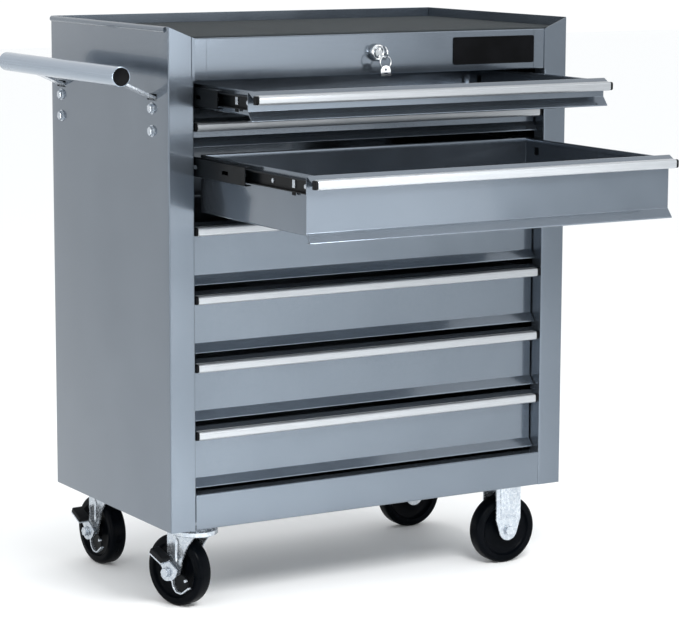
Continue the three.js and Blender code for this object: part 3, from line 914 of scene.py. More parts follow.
class FastenerTree(RepeatTree):
    """Chamfered head on a washer: hex bolts, pan heads, rivets and weld dimples."""

    name = "fasteners_on_points"
    inputs = {
        "Turn": SocketKind.ROTATION,
        "Head Radius": SocketKind.FLOAT,
        "Crown Radius": SocketKind.FLOAT,
        "Head Height": SocketKind.FLOAT,
        "Sides": SocketKind.INT,
        "Washer Radius": SocketKind.FLOAT,
        "Washer Height": SocketKind.FLOAT,
    }

    def unit(self, given: bpy.types.Node) -> bpy.types.NodeSocket:
        """A washer, a straight-sided head and a chamfered crown, stacked along local z."""
        tree, get = self.tree, given.outputs
        washer = add_node(
            tree,
            "GeometryNodeMeshCylinder",
            {"Vertices": 24},
            {"Radius": get["Washer Radius"], "Depth": get["Washer Height"]},
        )
        head = add_node(
            tree,
            "GeometryNodeMeshCylinder",
            None,
            {"Vertices": get["Sides"], "Radius": get["Head Radius"], "Depth": get["Head Height"]},
        )
        quarter = {"operation": "MULTIPLY", 1: 0.25}
        crown_height = add_node(tree, "ShaderNodeMath", quarter, {0: get["Head Height"]}).outputs[0]
        crown = add_node(
            tree,
            "GeometryNodeMeshCone",
            None,
            {
                "Vertices": get["Sides"],
                "Radius Bottom": get["Head Radius"],
                "Radius Top": get["Crown Radius"],
                "Depth": crown_height,
            },
        )
        head_height, washer_height = get["Head Height"], get["Washer Height"]
        half = {"operation": "MULTIPLY", 1: 0.5}
        half_and = {"operation": "MULTIPLY_ADD", 1: 0.5}
        washer_rise = add_node(tree, "ShaderNodeMath", half, {0: washer_height}).outputs[0]
        half_head = add_node(tree, "ShaderNodeMath", half_and, {0: head_height, 2: washer_height}).outputs[0]
        whole = {0: head_height, 1: washer_height}
        full_head = add_node(tree, "ShaderNodeMath", {"operation": "ADD"}, whole).outputs[0]
        parts = []
        for geometry, rise in ((washer, washer_rise), (head, half_head), (crown, full_head)):
            lift = add_node(tree, "ShaderNodeCombineXYZ", None, {"Z": rise}).outputs[0]
            feeds = {"Geometry": geometry.outputs["Mesh"], "Translation": lift}
            parts.append(add_node(tree, "GeometryNodeTransform", None, feeds).outputs[0])
        joined = add_node(tree, "GeometryNodeJoinGeometry")
        for part in parts:
            tree.links.new(part, joined.inputs[0])
        return joined.outputs[0]


class BallTree(RepeatTree):
    """Bearing balls, one on each point."""

    name = "bearing_balls"
    inputs = {"Radius": SocketKind.FLOAT}

    def unit(self, given: bpy.types.Node) -> bpy.types.NodeSocket:
        """One ball."""
        radius = {"Radius": given.outputs["Radius"]}
        return add_node(self.tree, "GeometryNodeMeshIcoSphere", {"Subdivisions": 2}, radius).outputs["Mesh"]


class RibTree(RepeatTree):
    """Straight ribs of one size, centred on each point."""

    name = "straight_ribs"
    inputs = {"Turn": SocketKind.ROTATION, "Size": SocketKind.VECTOR}

    def unit(self, given: bpy.types.Node) -> bpy.types.NodeSocket:
        """One rib."""
        size = {"Size": given.outputs["Size"]}
        return add_node(self.tree, "GeometryNodeMeshCube", None, size).outputs["Mesh"]


# Turns that point a fastener's head each way.
FACING = {
    "left": (0.0, -math.pi / 2, 0.0),
    "right": (0.0, math.pi / 2, 0.0),
    "front": (math.pi / 2, 0.0, 0.0),
    "back": (-math.pi / 2, 0.0, 0.0),
    "down": (math.pi, 0.0, 0.0),
    "up": (0.0, 0.0, 0.0),
}


@dataclass(frozen=True)
class Fastener:
    """Sizes of one kind of fastener, in millimetres."""

    head: float
    crown: float
    height: float
    sides: int
    washer: float
    washer_height: float

    def values(self, facing: str, material: bpy.types.Material) -> dict[str, object]:
        """Inputs of the fastener tree for heads that face one way."""
        return {
            "Turn": FACING[facing],
            "Head Radius": self.head,
            "Crown Radius": self.crown,
            "Head Height": self.height,
            "Sides": self.sides,
            "Washer Radius": self.washer,
            "Washer Height": self.washer_height,
            "Material": material,
        }


CASTER_BOLT = Fastener(6.0, 5.2, 4.0, 6, 8.0, 1.0)
ARM_BOLT = Fastener(6.2, 5.4, 3.2, 6, 7.8, 0.9)
ARM_NUT = Fastener(6.2, 5.4, 4.0, 6, 7.0, 0.6)
RACK_RIVET = Fastener(2.2, 1.4, 0.3, 16, 2.4, 0.1)
SLIDE_RIVET = Fastener(2.6, 1.6, 0.7, 20, 3.0, 0.3)
PAN_SCREW = Fastener(3.2, 2.0, 1.6, 20, 4.2, 0.4)
WELD_DIMPLE = Fastener(2.6, 1.4, 0.18, 16, 3.0, 0.06)


@dataclass
class Kit:
    """What every sub-assembly builds with."""

    shop: Workshop
    cabinet: Place
    fasteners: FastenerTree
    balls: BallTree
    ribs: RibTree

    def fasten(
        self,
        name: str,
        kind: Fastener,
        facing: str,
        points: Sequence[Sequence[float]],
        slot: Slot,
        body: str,
        place: Place,
    ) -> None:
        """Puts one kind of fastener on a list of points.

        Args:
            name: Piece name of the whole group.
            kind: Sizes of the fastener.
            facing: Which way the heads point.
            points: Where each one stands, in millimetres of the working frame.
            slot: Record slot.
            body: Body that the group moves with.
            place: Where the working frame lies.
        """
        material = self.shop.finishes.by_slot[slot]
        mesh = self.fasteners.run(points, kind.values(facing, material))
        self.shop.grown(name, mesh, slot, body, place)


# ---------------------------------------------------------------- sub-assemblies


def mirrored_span(value: float) -> Span:
    """The span from minus a value to the value."""
    return -value, value


@dataclass
class Cabinet:
    """Welded cabinet shell: side panels with their posts, header, rail, back, deck and floor."""

    half_width: float = 308.0
    depth: float = 355.0
    bottom: float = 119.0
    top: float = 775.0
    deck: float = 760.0
    opening: float = 271.5
    opening_bottom: float = 166.3
    opening_top: float = 705.4
    return_depth: float = 22.0
    ear_seam: float = 253.5
    rear_flange: float = 15.0
    header_fold: float = 25.0
    hem_height: float = 8.0
    hem_reach: float = 2.6
    hem_front: float = 8.0
    hem_corner: float = 3.2
    lock_hole: float = 9.6
    arm_slot_half: float = 13.5
    arm_slot: Span = (679.5, 688.0)
    arm_bolt_hole: float = 3.4
    swages: tuple[float, ...] = (250.0, 447.0, 644.0)
    mat_gauge: float = 1.6
    mat_front: float = 3.0
    rib_pitch: float = 3.0
    rib: Point2 = (1.4, 0.6)

    def build(self, kit: Kit) -> None:
        """Builds and dresses the whole shell."""
        shop, place = kit.shop, kit.cabinet
        right = self.side_panel()
        left = self.side_panel().mirrored().cut(*self.handle_openings())
        shop.piece("side_panel_left_skin", left, Slot.PAINT, "root", place, ["side_panel_left"])
        shop.piece("side_panel_right_skin", right, Slot.PAINT, "root", place, ["side_panel_right"])
        shop.piece("header_panel_skin", self.header(), Slot.PAINT, "root", place, ["header_panel"])
        shop.piece("bottom_rail_skin", self.bottom_rail(), Slot.PAINT, "root", place, ["bottom_rail"])
        shop.piece("back_panel_skin", self.back_panel(), Slot.PAINT, "root", place, ["back_panel"])
        shop.piece("top_mat_sheet", self.mat(), Slot.MAT, "root", place, ["top_mat"], edge_mm=0.4)
        self.mat_ribs(kit)
        self.welds(kit)

    def front_profile(self) -> list[Point2]:
        """Section of the header along (y, z): its bottom return, face and top fold."""
        return [
            (self.return_depth, self.opening_top),
            (0.0, self.opening_top),
            (0.0, self.deck),
            (self.header_fold, self.deck),
        ]

    def side_panel(self) -> Shape:
        """Right side panel with its front post, corner ear, rear flange and hemmed rim."""
        outer, inner = self.half_width, self.opening
        wall_path = [
            (inner, self.return_depth),
            (inner, 0.0),
            (outer, 0.0),
            (outer, self.depth),
            (outer - self.rear_flange, self.depth),
        ]
        wall = Shape.sheet(wall_path, SHEET, Axis.Z, (self.bottom, self.top))
        over = 3 * SHEET
        beside, height = (inner - 1, inner + over), (self.opening_top, self.top + 1)
        above = Shape.block(beside, (SHEET, self.return_depth + 1), height)
        below_ear = Shape.block(beside, (-1, SHEET + 1), height)
        clear = self.top + 25
        corner = [
            (inner - self.header_fold, self.deck),
            (inner, self.deck),
            (outer, self.top),
            (outer, clear),
            (inner - self.header_fold, clear),
        ]
        chamfer = Shape.prism(corner, Axis.Y, (-SHEET, 2 * SHEET))
        ear = Shape.sheet(self.front_profile(), -SHEET, Axis.X, (self.ear_seam, inner + over))
        fold_width, fold_depth = (inner, outer - SHEET / 2), (SHEET / 2, self.header_fold)
        fold = Shape.block(fold_width, fold_depth, (self.deck - SHEET, self.deck))
        return wall.cut(above, below_ear, chamfer).weld(ear, fold, self.hem())

    def hem(self) -> Shape:
        """Rolled hem along the top edge, outside the panel."""
        outer, high, low = self.half_width, self.top, self.top - self.hem_height
        reach = self.hem_reach
        roll = self.hem_height / 2
        outline = [
            (outer - SHEET / 2, high - 2 * SHEET),
            (outer - SHEET / 2, high),
            *arc((outer + reach - roll, high - roll), roll, 75, -62, 14),
            (outer + GAP, low + 1.2),
            (outer + GAP, high - 2 * SHEET),
        ]
        front, rear = self.hem_front, self.depth - 2.0
        made = Shape.prism(outline, Axis.Y, (front, rear))
        # Its free corners are nipped round.
        corner = self.hem_corner
        turns = (0.0, 0.4, 0.8, 1.2, math.pi / 2)
        for y, side in ((front, 1), (rear, -1)):
            nip = [(y - side, low - 1), (y + side * corner, low - 1)]
            for a in turns:
                nip.append((y + side * corner * (1 - math.sin(a)), low + corner * (1 - math.cos(a))))
            nip.append((y - side, low + corner))
            made = made.cut(Shape.prism(nip, Axis.X, (outer + 0.4, outer + reach + 1)))
        return made

    def handle_openings(self) -> list[Shape]:
        """A slot for each arm of the push handle and the bolt holes under it."""
        wall = (-self.half_width - 1, -self.half_width + 2)
        made = []
        for y in ARM_STATIONS:
            made.append(Shape.block(wall, (y - self.arm_slot_half, y + self.arm_slot_half), self.arm_slot))
            made += [Shape.rod(self.arm_bolt_hole, Axis.X, wall, (y, z), 20) for z in ARM_BOLT_HEIGHTS]
        return made

    def header(self) -> Shape:
        """Front panel above the drawers, with the lock's hole."""
        panel = Shape.sheet(self.front_profile(), -SHEET, Axis.X, mirrored_span(self.ear_seam - GAP))
        return panel.cut(Shape.rod(self.lock_hole, Axis.Y, (-1, 3), (0, LOCK_HEIGHT)))

    def bottom_rail(self) -> Shape:
        """Channel across the front under the lowest drawer."""
        path = [
            (self.return_depth, self.bottom),
            (0.0, self.bottom),
            (0.0, self.opening_bottom),
            (self.return_depth, self.opening_bottom),
        ]
        return Shape.sheet(path, -SHEET, Axis.X, mirrored_span(self.opening - GAP))

    def back_panel(self) -> Shape:
        """Rear sheet with three swages pressed inwards across it."""
        rear = self.depth - SHEET - GAP
        pressed = rear - 3
        path: list[Point2] = [(rear, self.bottom)]
        for z in self.swages:
            path += [(rear, z - 14), (pressed, z - 8), (pressed, z + 8), (rear, z + 14)]
        path.append((rear, self.top))
        return Shape.sheet(path, SHEET, Axis.X, mirrored_span(self.half_width - SHEET - GAP))

    def mat(self) -> Shape:
        """Thin mat that lies on the deck between the rims."""
        half = self.half_width - SHEET - GAP - 1
        rear = self.depth - 2 * (SHEET + GAP) - 1
        under = self.deck + GAP
        return Shape.block(mirrored_span(half), (self.mat_front, rear), (under, under + self.mat_gauge))

    def mat_ribs(self, kit: Kit) -> None:
        """Fine ribs moulded along the mat's top."""
        rear = self.depth - 2 * (SHEET + GAP) - 2
        half = self.half_width - SHEET - GAP - 2
        first, top = self.mat_front + 2, self.deck + GAP + self.mat_gauge
        count = int((rear - 2 * self.mat_front) / self.rib_pitch)
        points = [(0.0, i * self.rib_pitch + first, top + 0.1) for i in range(count)]
        values = {
            "Size": (2 * half, *self.rib),
            "Turn": FACING["up"],
            "Material": kit.shop.finishes.by_slot[Slot.MAT],
        }
        mesh = kit.ribs.run(points, values)
        kit.shop.grown("top_mat_ribs", mesh, Slot.MAT, "root", kit.cabinet)

    def welds(self, kit: Kit) -> None:
        """Spot welds down the rear flanges and drive screws under the front rail."""
        x = self.half_width - self.rear_flange / 2
        heights = [self.bottom + 30 + 85 * i for i in range(8)]
        dimples = [(side * x, self.depth - 0.05, z) for side in (-1, 1) for z in heights]
        kit.fasten("rear_flange_spot_welds", WELD_DIMPLE, "back", dimples, Slot.PAINT, "root", kit.cabinet)
        screws = [(side * 238.0, 14.0, self.bottom) for side in (-1, 1)]
        kit.fasten("rail_foot_screws", PAN_SCREW, "down", screws, Slot.SLIDE, "root", kit.cabinet)


@dataclass
class Nameplate:
    """Blank gloss plate with a raised rim, stuck on the header."""

    left: float = 121.5
    width: float = 131.0
    bottom: float = 714.5
    height: float = 37.0
    thickness: float = 1.5
    corner: float = 3.0
    rim: float = 1.6
    sink: float = 0.4

    def outline(self, inset: float) -> list[Point2]:
        """Rounded rectangle, drawn in from the plate's edge."""
        left, right = self.left + inset, self.left + self.width - inset
        low, high = self.bottom + inset, self.bottom + self.height - inset
        r = max(self.corner - inset, 0.6)
        corners = (
            ((right - r, low + r), -90),
            ((right - r, high - r), 0),
            ((left + r, high - r), 90),
            ((left + r, low + r), 180),
        )
        return [p for centre, start in corners for p in arc(centre, r, start, start + 90, 6)]

    def build(self, kit: Kit) -> None:
        """Builds the plate with its blank field sunk inside the rim."""
        face = -GAP - self.thickness
        plate = Shape.prism(self.outline(0), Axis.Y, (face, -GAP))
        sunk = Shape.prism(self.outline(self.rim), Axis.Y, (face - 1.2, face + self.sink))
        blank, place = plate.cut(sunk), kit.cabinet
        kit.shop.piece("nameplate_blank", blank, Slot.PLATE, "root", place, ["nameplate"], edge_mm=0.2)


@dataclass
class Slides:
    """Ball-bearing drawer slides: fixed members on uprights, middle members and drawer members."""

    length: float = 300.0
    below: float = 16.5
    start: float = 24.0
    outer: float = 269.9
    inner: float = 258.5
    gauge: float = 1.2
    cabinet_half: float = 13.5
    middle_half: float = 11.9
    drawer_half: float = 8.2
    side_inside: float = 306.7
    upright_front: float = 40.0
    upright_rear: float = 312.0
    bottom: float = 150.0
    top: float = 704.0
    rack_rivets: tuple[float, ...] = (48.0, 300.0)
    member_screws: tuple[float, ...] = (24.0, 104.0, 176.0, 262.0)
    middle_slots: tuple[float, ...] = (44.0, 128.0, 212.0)
    slot_size: Point2 = (16.0, 5.0)
    balls: int = 17
    ball_radius: float = 1.0
    ball_pitch: float = 8.0

    @property
    def moving_start(self) -> float:
        """Front end of the middle member in its drawer's frame."""
        return self.start - CLOSED_FACE

    def channel(self, outer: float, inner: float, half: float, z: float, span: Span) -> Shape:
        """One channel member on the right, open towards the drawer."""
        path = [(inner, z - half), (outer, z - half), (outer, z + half), (inner, z + half)]
        return Shape.sheet(path, self.gauge, Axis.Y, span, 1.4)

    def upright(self, y: float, direction: int) -> Shape:
        """Upright that carries the members and reaches out to the side panel."""
        foot, flange, web = self.outer - 0.4, self.side_inside - SHEET, y + direction * 20.0
        path = [(foot, y), (foot, web), (flange, web), (flange, web + direction * 12.0)]
        return Shape.sheet(path, -direction * SHEET, Axis.Z, (self.bottom, self.top), 1.5)

    def rack(self, heights: Sequence[float]) -> Shape:
        """Fixed half of the right side's slides."""
        span = (self.start, self.start + self.length)
        members = [self.channel(self.outer, self.inner, self.cabinet_half, z, span) for z in heights]
        made = self.upright(self.upright_front, 1)
        return made.add(self.upright(self.upright_rear, -1), *members)

    def middle(self) -> Shape:
        """Middle member on the right, in its drawer's frame, with lightening slots."""
        outer = self.outer - self.gauge - 0.4
        start, z = self.moving_start, -self.below
        made = self.channel(outer, self.inner + 1, self.middle_half, z, (start, start + self.length))
        wall, (length, height) = (outer - 3, outer + 1), self.slot_size
        across = (z - height / 2, z + height / 2)
        slots = [Shape.block(wall, (start + y, start + y + length), across) for y in self.middle_slots]
        return made.cut(*slots)

    def retainer(self) -> Shape:
        """Pressed cage that spaces the balls inside the middle member."""
        start, z = self.moving_start, -self.below
        inner, outer, half = 262.2, 266.4, 9.4
        path = [(inner, z - half), (outer, z - half), (outer, z + half), (inner, z + half)]
        return Shape.sheet(path, 0.5, Axis.Y, (start + 150, start + 290), 1.0)

    def ball_points(self) -> list[tuple[float, float, float]]:
        """Centres of the balls between the middle and the drawer member, on the right."""
        x, first = 261.6, self.moving_start + 156
        rise = self.middle_half - self.gauge - 1.05
        return [
            (x, first + self.ball_pitch * i, -self.below + up)
            for i in range(self.balls)
            for up in (rise, -rise)
        ]

    def drawer_member(self) -> Shape:
        """Drawer member, screwed to the drawer's side, in the drawer's frame."""
        half, z = self.drawer_half, -self.below
        outer, inner = 262.8, 255.4
        path = [(outer, z - half), (inner, z - half), (inner, z + half), (outer, z + half)]
        return Shape.sheet(path, -self.gauge, Axis.Y, (2.0, 298.0), 1.2)

    def release(self) -> tuple[Shape, Shape]:
        """Zinc spring clip and black release tab near the drawer's front."""
        z = -self.below
        clip = Shape.block((257.0, 258.2), (48.0, 54.0), (z - 4.0, z + 6.0))
        tab = Shape.block((256.8, 258.2), (47.0, 55.0), (z - 13.0, z - 8.9)).softened(0.4)
        return clip, tab

    def build_racks(self, kit: Kit, heights: Sequence[float]) -> None:
        """Builds both fixed racks."""
        shop, place = kit.shop, kit.cabinet
        right, left = self.rack(heights), self.rack(heights).mirrored()
        shop.piece("slide_rack_right_steel", right, Slot.SLIDE, "root", place, ["slide_rack_right"])
        shop.piece("slide_rack_left_steel", left, Slot.SLIDE, "root", place, ["slide_rack_left"])
        for word, side, facing in (("left", -1, "right"), ("right", 1, "left")):
            x = side * (self.outer - self.gauge + 0.1)
            rivets = [(x, y, z) for z in heights for y in self.rack_rivets]
            name = f"slide_rack_rivets_{word}"
            kit.fasten(name, RACK_RIVET, facing, rivets, Slot.ZINC, "root", place)

    def build_for_drawer(self, kit: Kit, number: int, half_way: Place, face: Place) -> None:
        """Builds the moving members of one drawer's two slides."""
        shop, drawer = kit.shop, f"drawer_{number}"
        for side, word in ((1, "right"), (-1, "left")):
            body = f"slide_{number}_{word}"
            clip, tab = self.release()
            shapes = [self.middle(), self.retainer(), self.drawer_member(), clip, tab]
            middle, cage, member, clip, tab = [s if side > 0 else s.mirrored() for s in shapes]
            shop.piece(f"{body}_middle", middle, Slot.SLIDE, body, half_way, [body], edge_mm=0.15)
            shop.piece(f"{body}_retainer", cage, Slot.SLIDE, body, half_way, edge_mm=0)
            points = [(side * x, y, z) for x, y, z in self.ball_points()]
            values = {"Radius": self.ball_radius, "Material": shop.finishes.by_slot[Slot.CHROME]}
            balls = kit.balls.run(points, values)
            shop.grown(f"{body}_balls", balls, Slot.CHROME, body, half_way, smooth=True)
            shop.piece(f"{drawer}_member_{word}", member, Slot.SLIDE, drawer, face, edge_mm=0.15)
            shop.piece(f"{drawer}_clip_{word}", clip, Slot.ZINC, drawer, face, edge_mm=0.2)
            shop.piece(f"{drawer}_tab_{word}", tab, Slot.PLASTIC, drawer, face, edge_mm=0)
            screws = [(side * 256.7, y, -self.below) for y in self.member_screws]
            kit.fasten(f"{drawer}_screws_{word}", SLIDE_RIVET, word, screws, Slot.ZINC, drawer, face)


@dataclass(frozen=True)
class DrawerSize:
    """Heights of one size of drawer."""

    pitch: float
    front: float
    side: float


SHALLOW = DrawerSize(45.1, 37.7, 33.0)
DEEP = DrawerSize(89.4, 82.0, 77.0)


@dataclass
class Drawer:
    """Steel drawer box welded to a folded front, with an extruded pull along its top."""

    number: int
    size: DrawerSize
    front_half: float = 269.5
    box_half: float = 254.0
    box_depth: float = 300.0
    lip_reach: float = 12.5
    lip_drop: float = 8.0
    flare_reach: float = 10.5
    flare_height: float = 12.2
    flare_return: float = 10.0
    pull_back: float = 11.0
    pull_front: float = 22.0
    pull_node_top: float = -2.5
    pull_top: float = -4.8
    pull_bottom: float = -16.5
    pull_nose: float = 3.2
    pull_slot: tuple[float, float, float] = (3.4, -10.2, -6.0)
    end_cap: float = 4.0

    def front(self) -> Shape:
        """Front sheet, folded over at the top for the pull and flared out at the foot."""
        foot = -self.size.front
        path = [
            (-self.lip_reach, -self.lip_drop),
            (0.0, -SHEET),
            (0.0, self.flare_height + foot),
            (-self.flare_reach, foot),
            (self.flare_return - self.flare_reach, foot),
        ]
        return Shape.sheet(path, SHEET, Axis.X, mirrored_span(self.front_half), 1.3)

    def box(self) -> Shape:
        """Open box with rolled top edges and a square hole near the back of each side."""
        top, side = -2.0, self.size.side
        outer = Shape.block(mirrored_span(self.box_half), (SHEET / 2, self.box_depth), (-side, top))
        inner, depth = mirrored_span(self.box_half - SHEET), (SHEET, self.box_depth - SHEET)
        hollow = Shape.block(inner, depth, (SHEET - side, top + 9))
        made = outer.softened(2.0, top - 0.5).cut(hollow.softened(1.2, top + 8.5))
        holes = Shape.block(mirrored_span(self.box_half + 1), (268.0, 279.0), (-24.5, -13.5))
        return made.cut(holes).weld(*self.hems(top))

    def hems(self, top: float) -> list[Shape]:
        """Rolled hems along both sides and the back."""
        width, height, edge = 2.6, 6.0, 1.3

        def section(outer: float, inward: int) -> list[Point2]:
            """Outline of one hem, rolled inwards from an outer face."""
            far = outer + inward * width
            low, high = sorted((outer, far))
            middle = (low + high) / 2
            return [(low, top - height), (high, top - height), *arc((middle, top - edge), edge, 0, 180, 8)]

        depth = (SHEET / 2, self.box_depth - 0.4)
        sides = [Shape.prism(section(side * self.box_half, -side), Axis.Y, depth) for side in (-1, 1)]
        back = Shape.prism(section(self.box_depth, -1), Axis.X, mirrored_span(self.box_half - SHEET))
        return [*sides, back]

    def nose(self, inset: float = 0.0) -> list[Point2]:
        """Rounded front of the pull's section along (y, z), drawn in by an inset."""
        radius = self.pull_nose
        centre = radius - self.pull_front
        return [
            *arc((centre, self.pull_top - radius), radius - inset, 90, 180, 8),
            *arc((centre, self.pull_bottom + radius), radius - inset, 180, 270, 8),
        ]

    def pull_outline(self) -> list[Point2]:
        """Section of the pull: a flat-fronted D with a bead groove along its top."""
        back, top, bottom = -self.pull_back, self.pull_top, self.pull_bottom
        slot_depth, slot_low, slot_high = self.pull_slot
        return [
            (back, top),
            *arc((back - 2.6, top + 0.2), 0.5, 0, -180, 6),
            *self.nose(),
            (back - 2.0, bottom),
            (back - 1.2, bottom + 0.8),
            (back, bottom + 0.8),
            (back, slot_low),
            (back - slot_depth, slot_low),
            (back - slot_depth, slot_high),
            (back, slot_high),
        ]

    def cap_outline(self) -> list[Point2]:
        """Section of a pull's end cap: the pull's outer shape, a touch smaller and solid."""
        back, inset = -self.pull_back - 2.2, 0.4
        return [(back, self.pull_top - inset), *self.nose(inset), (back, self.pull_bottom + inset)]

    def build(self, kit: Kit, face: Place) -> None:
        """Builds the drawer, its pull and the pull's end caps."""
        shop, body = kit.shop, f"drawer_{self.number}"
        box = self.box().weld(self.front())
        shop.piece(f"{body}_steel", box, Slot.PAINT, body, face, [body])
        half = self.front_half - self.end_cap
        pull = Shape.prism(self.pull_outline(), Axis.X, mirrored_span(half))
        node = f"pull_{self.number}"
        shop.piece(f"{node}_extrusion", pull, Slot.PULL, body, face, [node], edge_mm=0.2)
        for word, side in (("left", -1), ("right", 1)):
            span = (side * (half + 0.1), side * (half + self.end_cap))
            cap = Shape.prism(self.cap_outline(), Axis.X, (min(span), max(span)))
            shop.piece(f"{node}_cap_{word}", cap, Slot.PLASTIC, body, face, edge_mm=0.7)
        z = self.pull_bottom + 12.0 - self.size.front / 2
        dimples = [(side * (self.box_half - 8), 1.1, min(z, -24.0)) for side in (-1, 1)]
        kit.fasten(f"{body}_spot_welds", WELD_DIMPLE, "back", dimples, Slot.PAINT, body, face)


@dataclass
class Lock:
    """Cylinder lock in the header, with its key in it and a ring and tag on the key."""

    cap_radius: float = 11.5
    body_radius: float = 9.3
    bore_radius: float = 6.5
    core_radius: float = 6.2
    bow_radius: float = 9.0
    bow_half: float = 0.9
    hang: Point2 = (-24.0, 731.0)
    ring_radius: float = 8.3
    wire: float = 0.8
    tag_half: float = 7.5

    def barrel(self) -> Shape:
        """Round cap with a bevelled rim, and the threaded barrel behind the header."""
        cap, bore = self.cap_radius, self.bore_radius
        loop = [
            (bore, -6.8),
            (bore + 0.8, -7.6),
            (cap - 2.6, -8.0),
            (cap - 1.0, -7.2),
            (cap, -5.4),
            (cap, -GAP),
            (self.body_radius, -GAP),
            (self.body_radius, 24.0),
            (bore, 24.0),
        ]
        return Shape.lathe(loop, Axis.Y, (0.0, LOCK_HEIGHT))

    def core(self) -> Shape:
        """Turning core, the key's blade and bow in it, and the locking cam behind."""
        z = LOCK_HEIGHT
        core = Shape.rod(self.core_radius, Axis.Y, (-9.0, 27.0), (0, z), 40)
        blade = Shape.block(mirrored_span(self.bow_half), (-14.0, -8.0), (z - 3.5, z + 3.5))
        bow = Shape.rod(self.bow_radius, Axis.X, mirrored_span(self.bow_half), (-20.0, z), 40)
        hole = Shape.rod(2.2, Axis.X, mirrored_span(3), self.hang, 20)
        cam = Shape.block(mirrored_span(5), (24.6, 27.0), (z - 22, z + 7))
        return core.weld(blade, bow.cut(hole), cam)

    def key_set(self) -> Shape:
        """Split ring through the bow, with a pierced tag."""
        y, z = self.hang
        radius, wire, centre = self.ring_radius, self.wire, z - self.ring_radius
        turns = [math.pi * i / 6 for i in range(12)]
        section = [(radius + wire * math.cos(a), wire * math.sin(a)) for a in turns]
        ring = Shape.lathe(section, Axis.Y, (0.0, centre), 48).moved(y=y)
        low, half, thick = centre - radius, self.tag_half, (y - 0.9, y + 0.9)
        head = Shape.rod(half, Axis.Y, thick, (0, low - 3.2), 40)
        tag = head.weld(Shape.block(mirrored_span(half), thick, (low - 9.5, low - 3.2)))
        tag = tag.cut(
            Shape.rod(1.8, Axis.Y, (y - 2, y + 2), (0, low - 0.8), 20),
            Shape.block(mirrored_span(3.6), (y - 2, y + 2), (low - 7.6, low - 5.0)),
        )
        return ring.add(tag)

    def build(self, kit: Kit) -> None:
        """Builds the lock."""
        for name, shape, body, node, edge in (
            ("lock_barrel_plated", self.barrel(), "root", "lock_barrel", 0.15),
            ("lock_core_and_key", self.core(), "lock_core", "lock_core", 0.3),
            ("key_ring_and_tag", self.key_set(), "key_set", "key_set", 0.2),
        ):
            kit.shop.piece(name, shape, Slot.CHROME, body, kit.cabinet, [node], edge_mm=edge)


@dataclass
class PushHandle:
    """Tube handle on two flat arms bolted inside the left side panel."""

    x: float = -372.5
    z: float = 714.0
    radius: float = 12.7
    wall: float = 1.2
    front: float = 2.0
    rear: float = 358.0
    cap_depth: float = 12.0
    arm_width: float = 25.0
    arm_gauge: float = 3.0
    arm_end: Point2 = (-368.0, 708.4)
    foot: float = 627.0
    bend: float = 681.0
    panel: float = -308.0

    @property
    def inside(self) -> float:
        """Where the arms lie against the side panel's inner face."""
        return self.panel + SHEET + GAP

    def tube(self) -> Shape:
        """Tube with turned-in ends."""
        outer, inner = self.radius, self.radius - self.wall
        front, rear = self.front, self.rear
        loop = [
            (inner, front + 0.4),
            (inner + 0.3, front),
            (outer - 0.6, front),
            (outer, front + 0.6),
            (outer, rear - 0.6),
            (outer - 0.6, rear),
            (inner + 0.3, rear),
            (inner, rear - 0.4),
        ]
        return Shape.lathe(loop, Axis.Y, (self.x, self.z), 96)

    def cap(self, at: float, inward: int) -> Shape:
        """Plug pressed into an end of the tube, its face just inside the rim."""
        radius, depth = self.radius - self.wall - GAP, self.cap_depth
        face = [(0.0, 0.5), (radius - 2.0, 0.5), (radius - 1.2, 0.2), (radius - 0.3, 0.2), (radius, 0.6)]
        placed = [(r, at + inward * along) for r, along in [*face, (radius, depth), (0.0, depth)]]
        return Shape.lathe(placed, Axis.Y, (self.x, self.z), 64, ring=False)

    def arm(self, y: float) -> Shape:
        """Flat arm: up inside the panel, out through its slot, and saddled to the tube."""
        path = [(self.inside, self.foot), (self.inside, self.bend), self.arm_end]
        span = (y - self.arm_width / 2, y + self.arm_width / 2)
        saddle = Shape.rod(self.radius + 0.05, Axis.Y, (span[0] - 1, span[1] + 1), (self.x, self.z), 96)
        return Shape.sheet(path, -self.arm_gauge, Axis.Y, span, 3.0).cut(saddle)

    def build(self, kit: Kit) -> None:
        """Builds the tube, its plugs, both arms and their bolts."""
        shop, place, tube = kit.shop, kit.cabinet, self.tube()
        shop.piece("handle_tube_lacquered", tube, Slot.TUBE, "root", place, ["handle_tube"], edge_mm=0)
        for word, at, inward in (("front", self.front, 1), ("rear", self.rear, -1)):
            plug, node = self.cap(at, inward), f"handle_cap_{word}"
            shop.piece(f"handle_plug_{word}", plug, Slot.PLASTIC, "root", place, [node], edge_mm=0)
        for word, y in zip(("front", "rear"), ARM_STATIONS):
            node = f"handle_bracket_{word}"
            shop.piece(f"{node}_arm", self.arm(y), Slot.ZINC, "root", place, [node], edge_mm=0.4)
            heads = [(self.panel, y, z) for z in ARM_BOLT_HEIGHTS]
            kit.fasten(f"handle_bolts_{word}", ARM_BOLT, "left", heads, Slot.ZINC, "root", place)
            nuts = [(self.inside + self.arm_gauge, y, z) for z in ARM_BOLT_HEIGHTS]
            kit.fasten(f"handle_nuts_{word}", ARM_NUT, "right", nuts, Slot.ZINC, "root", place)


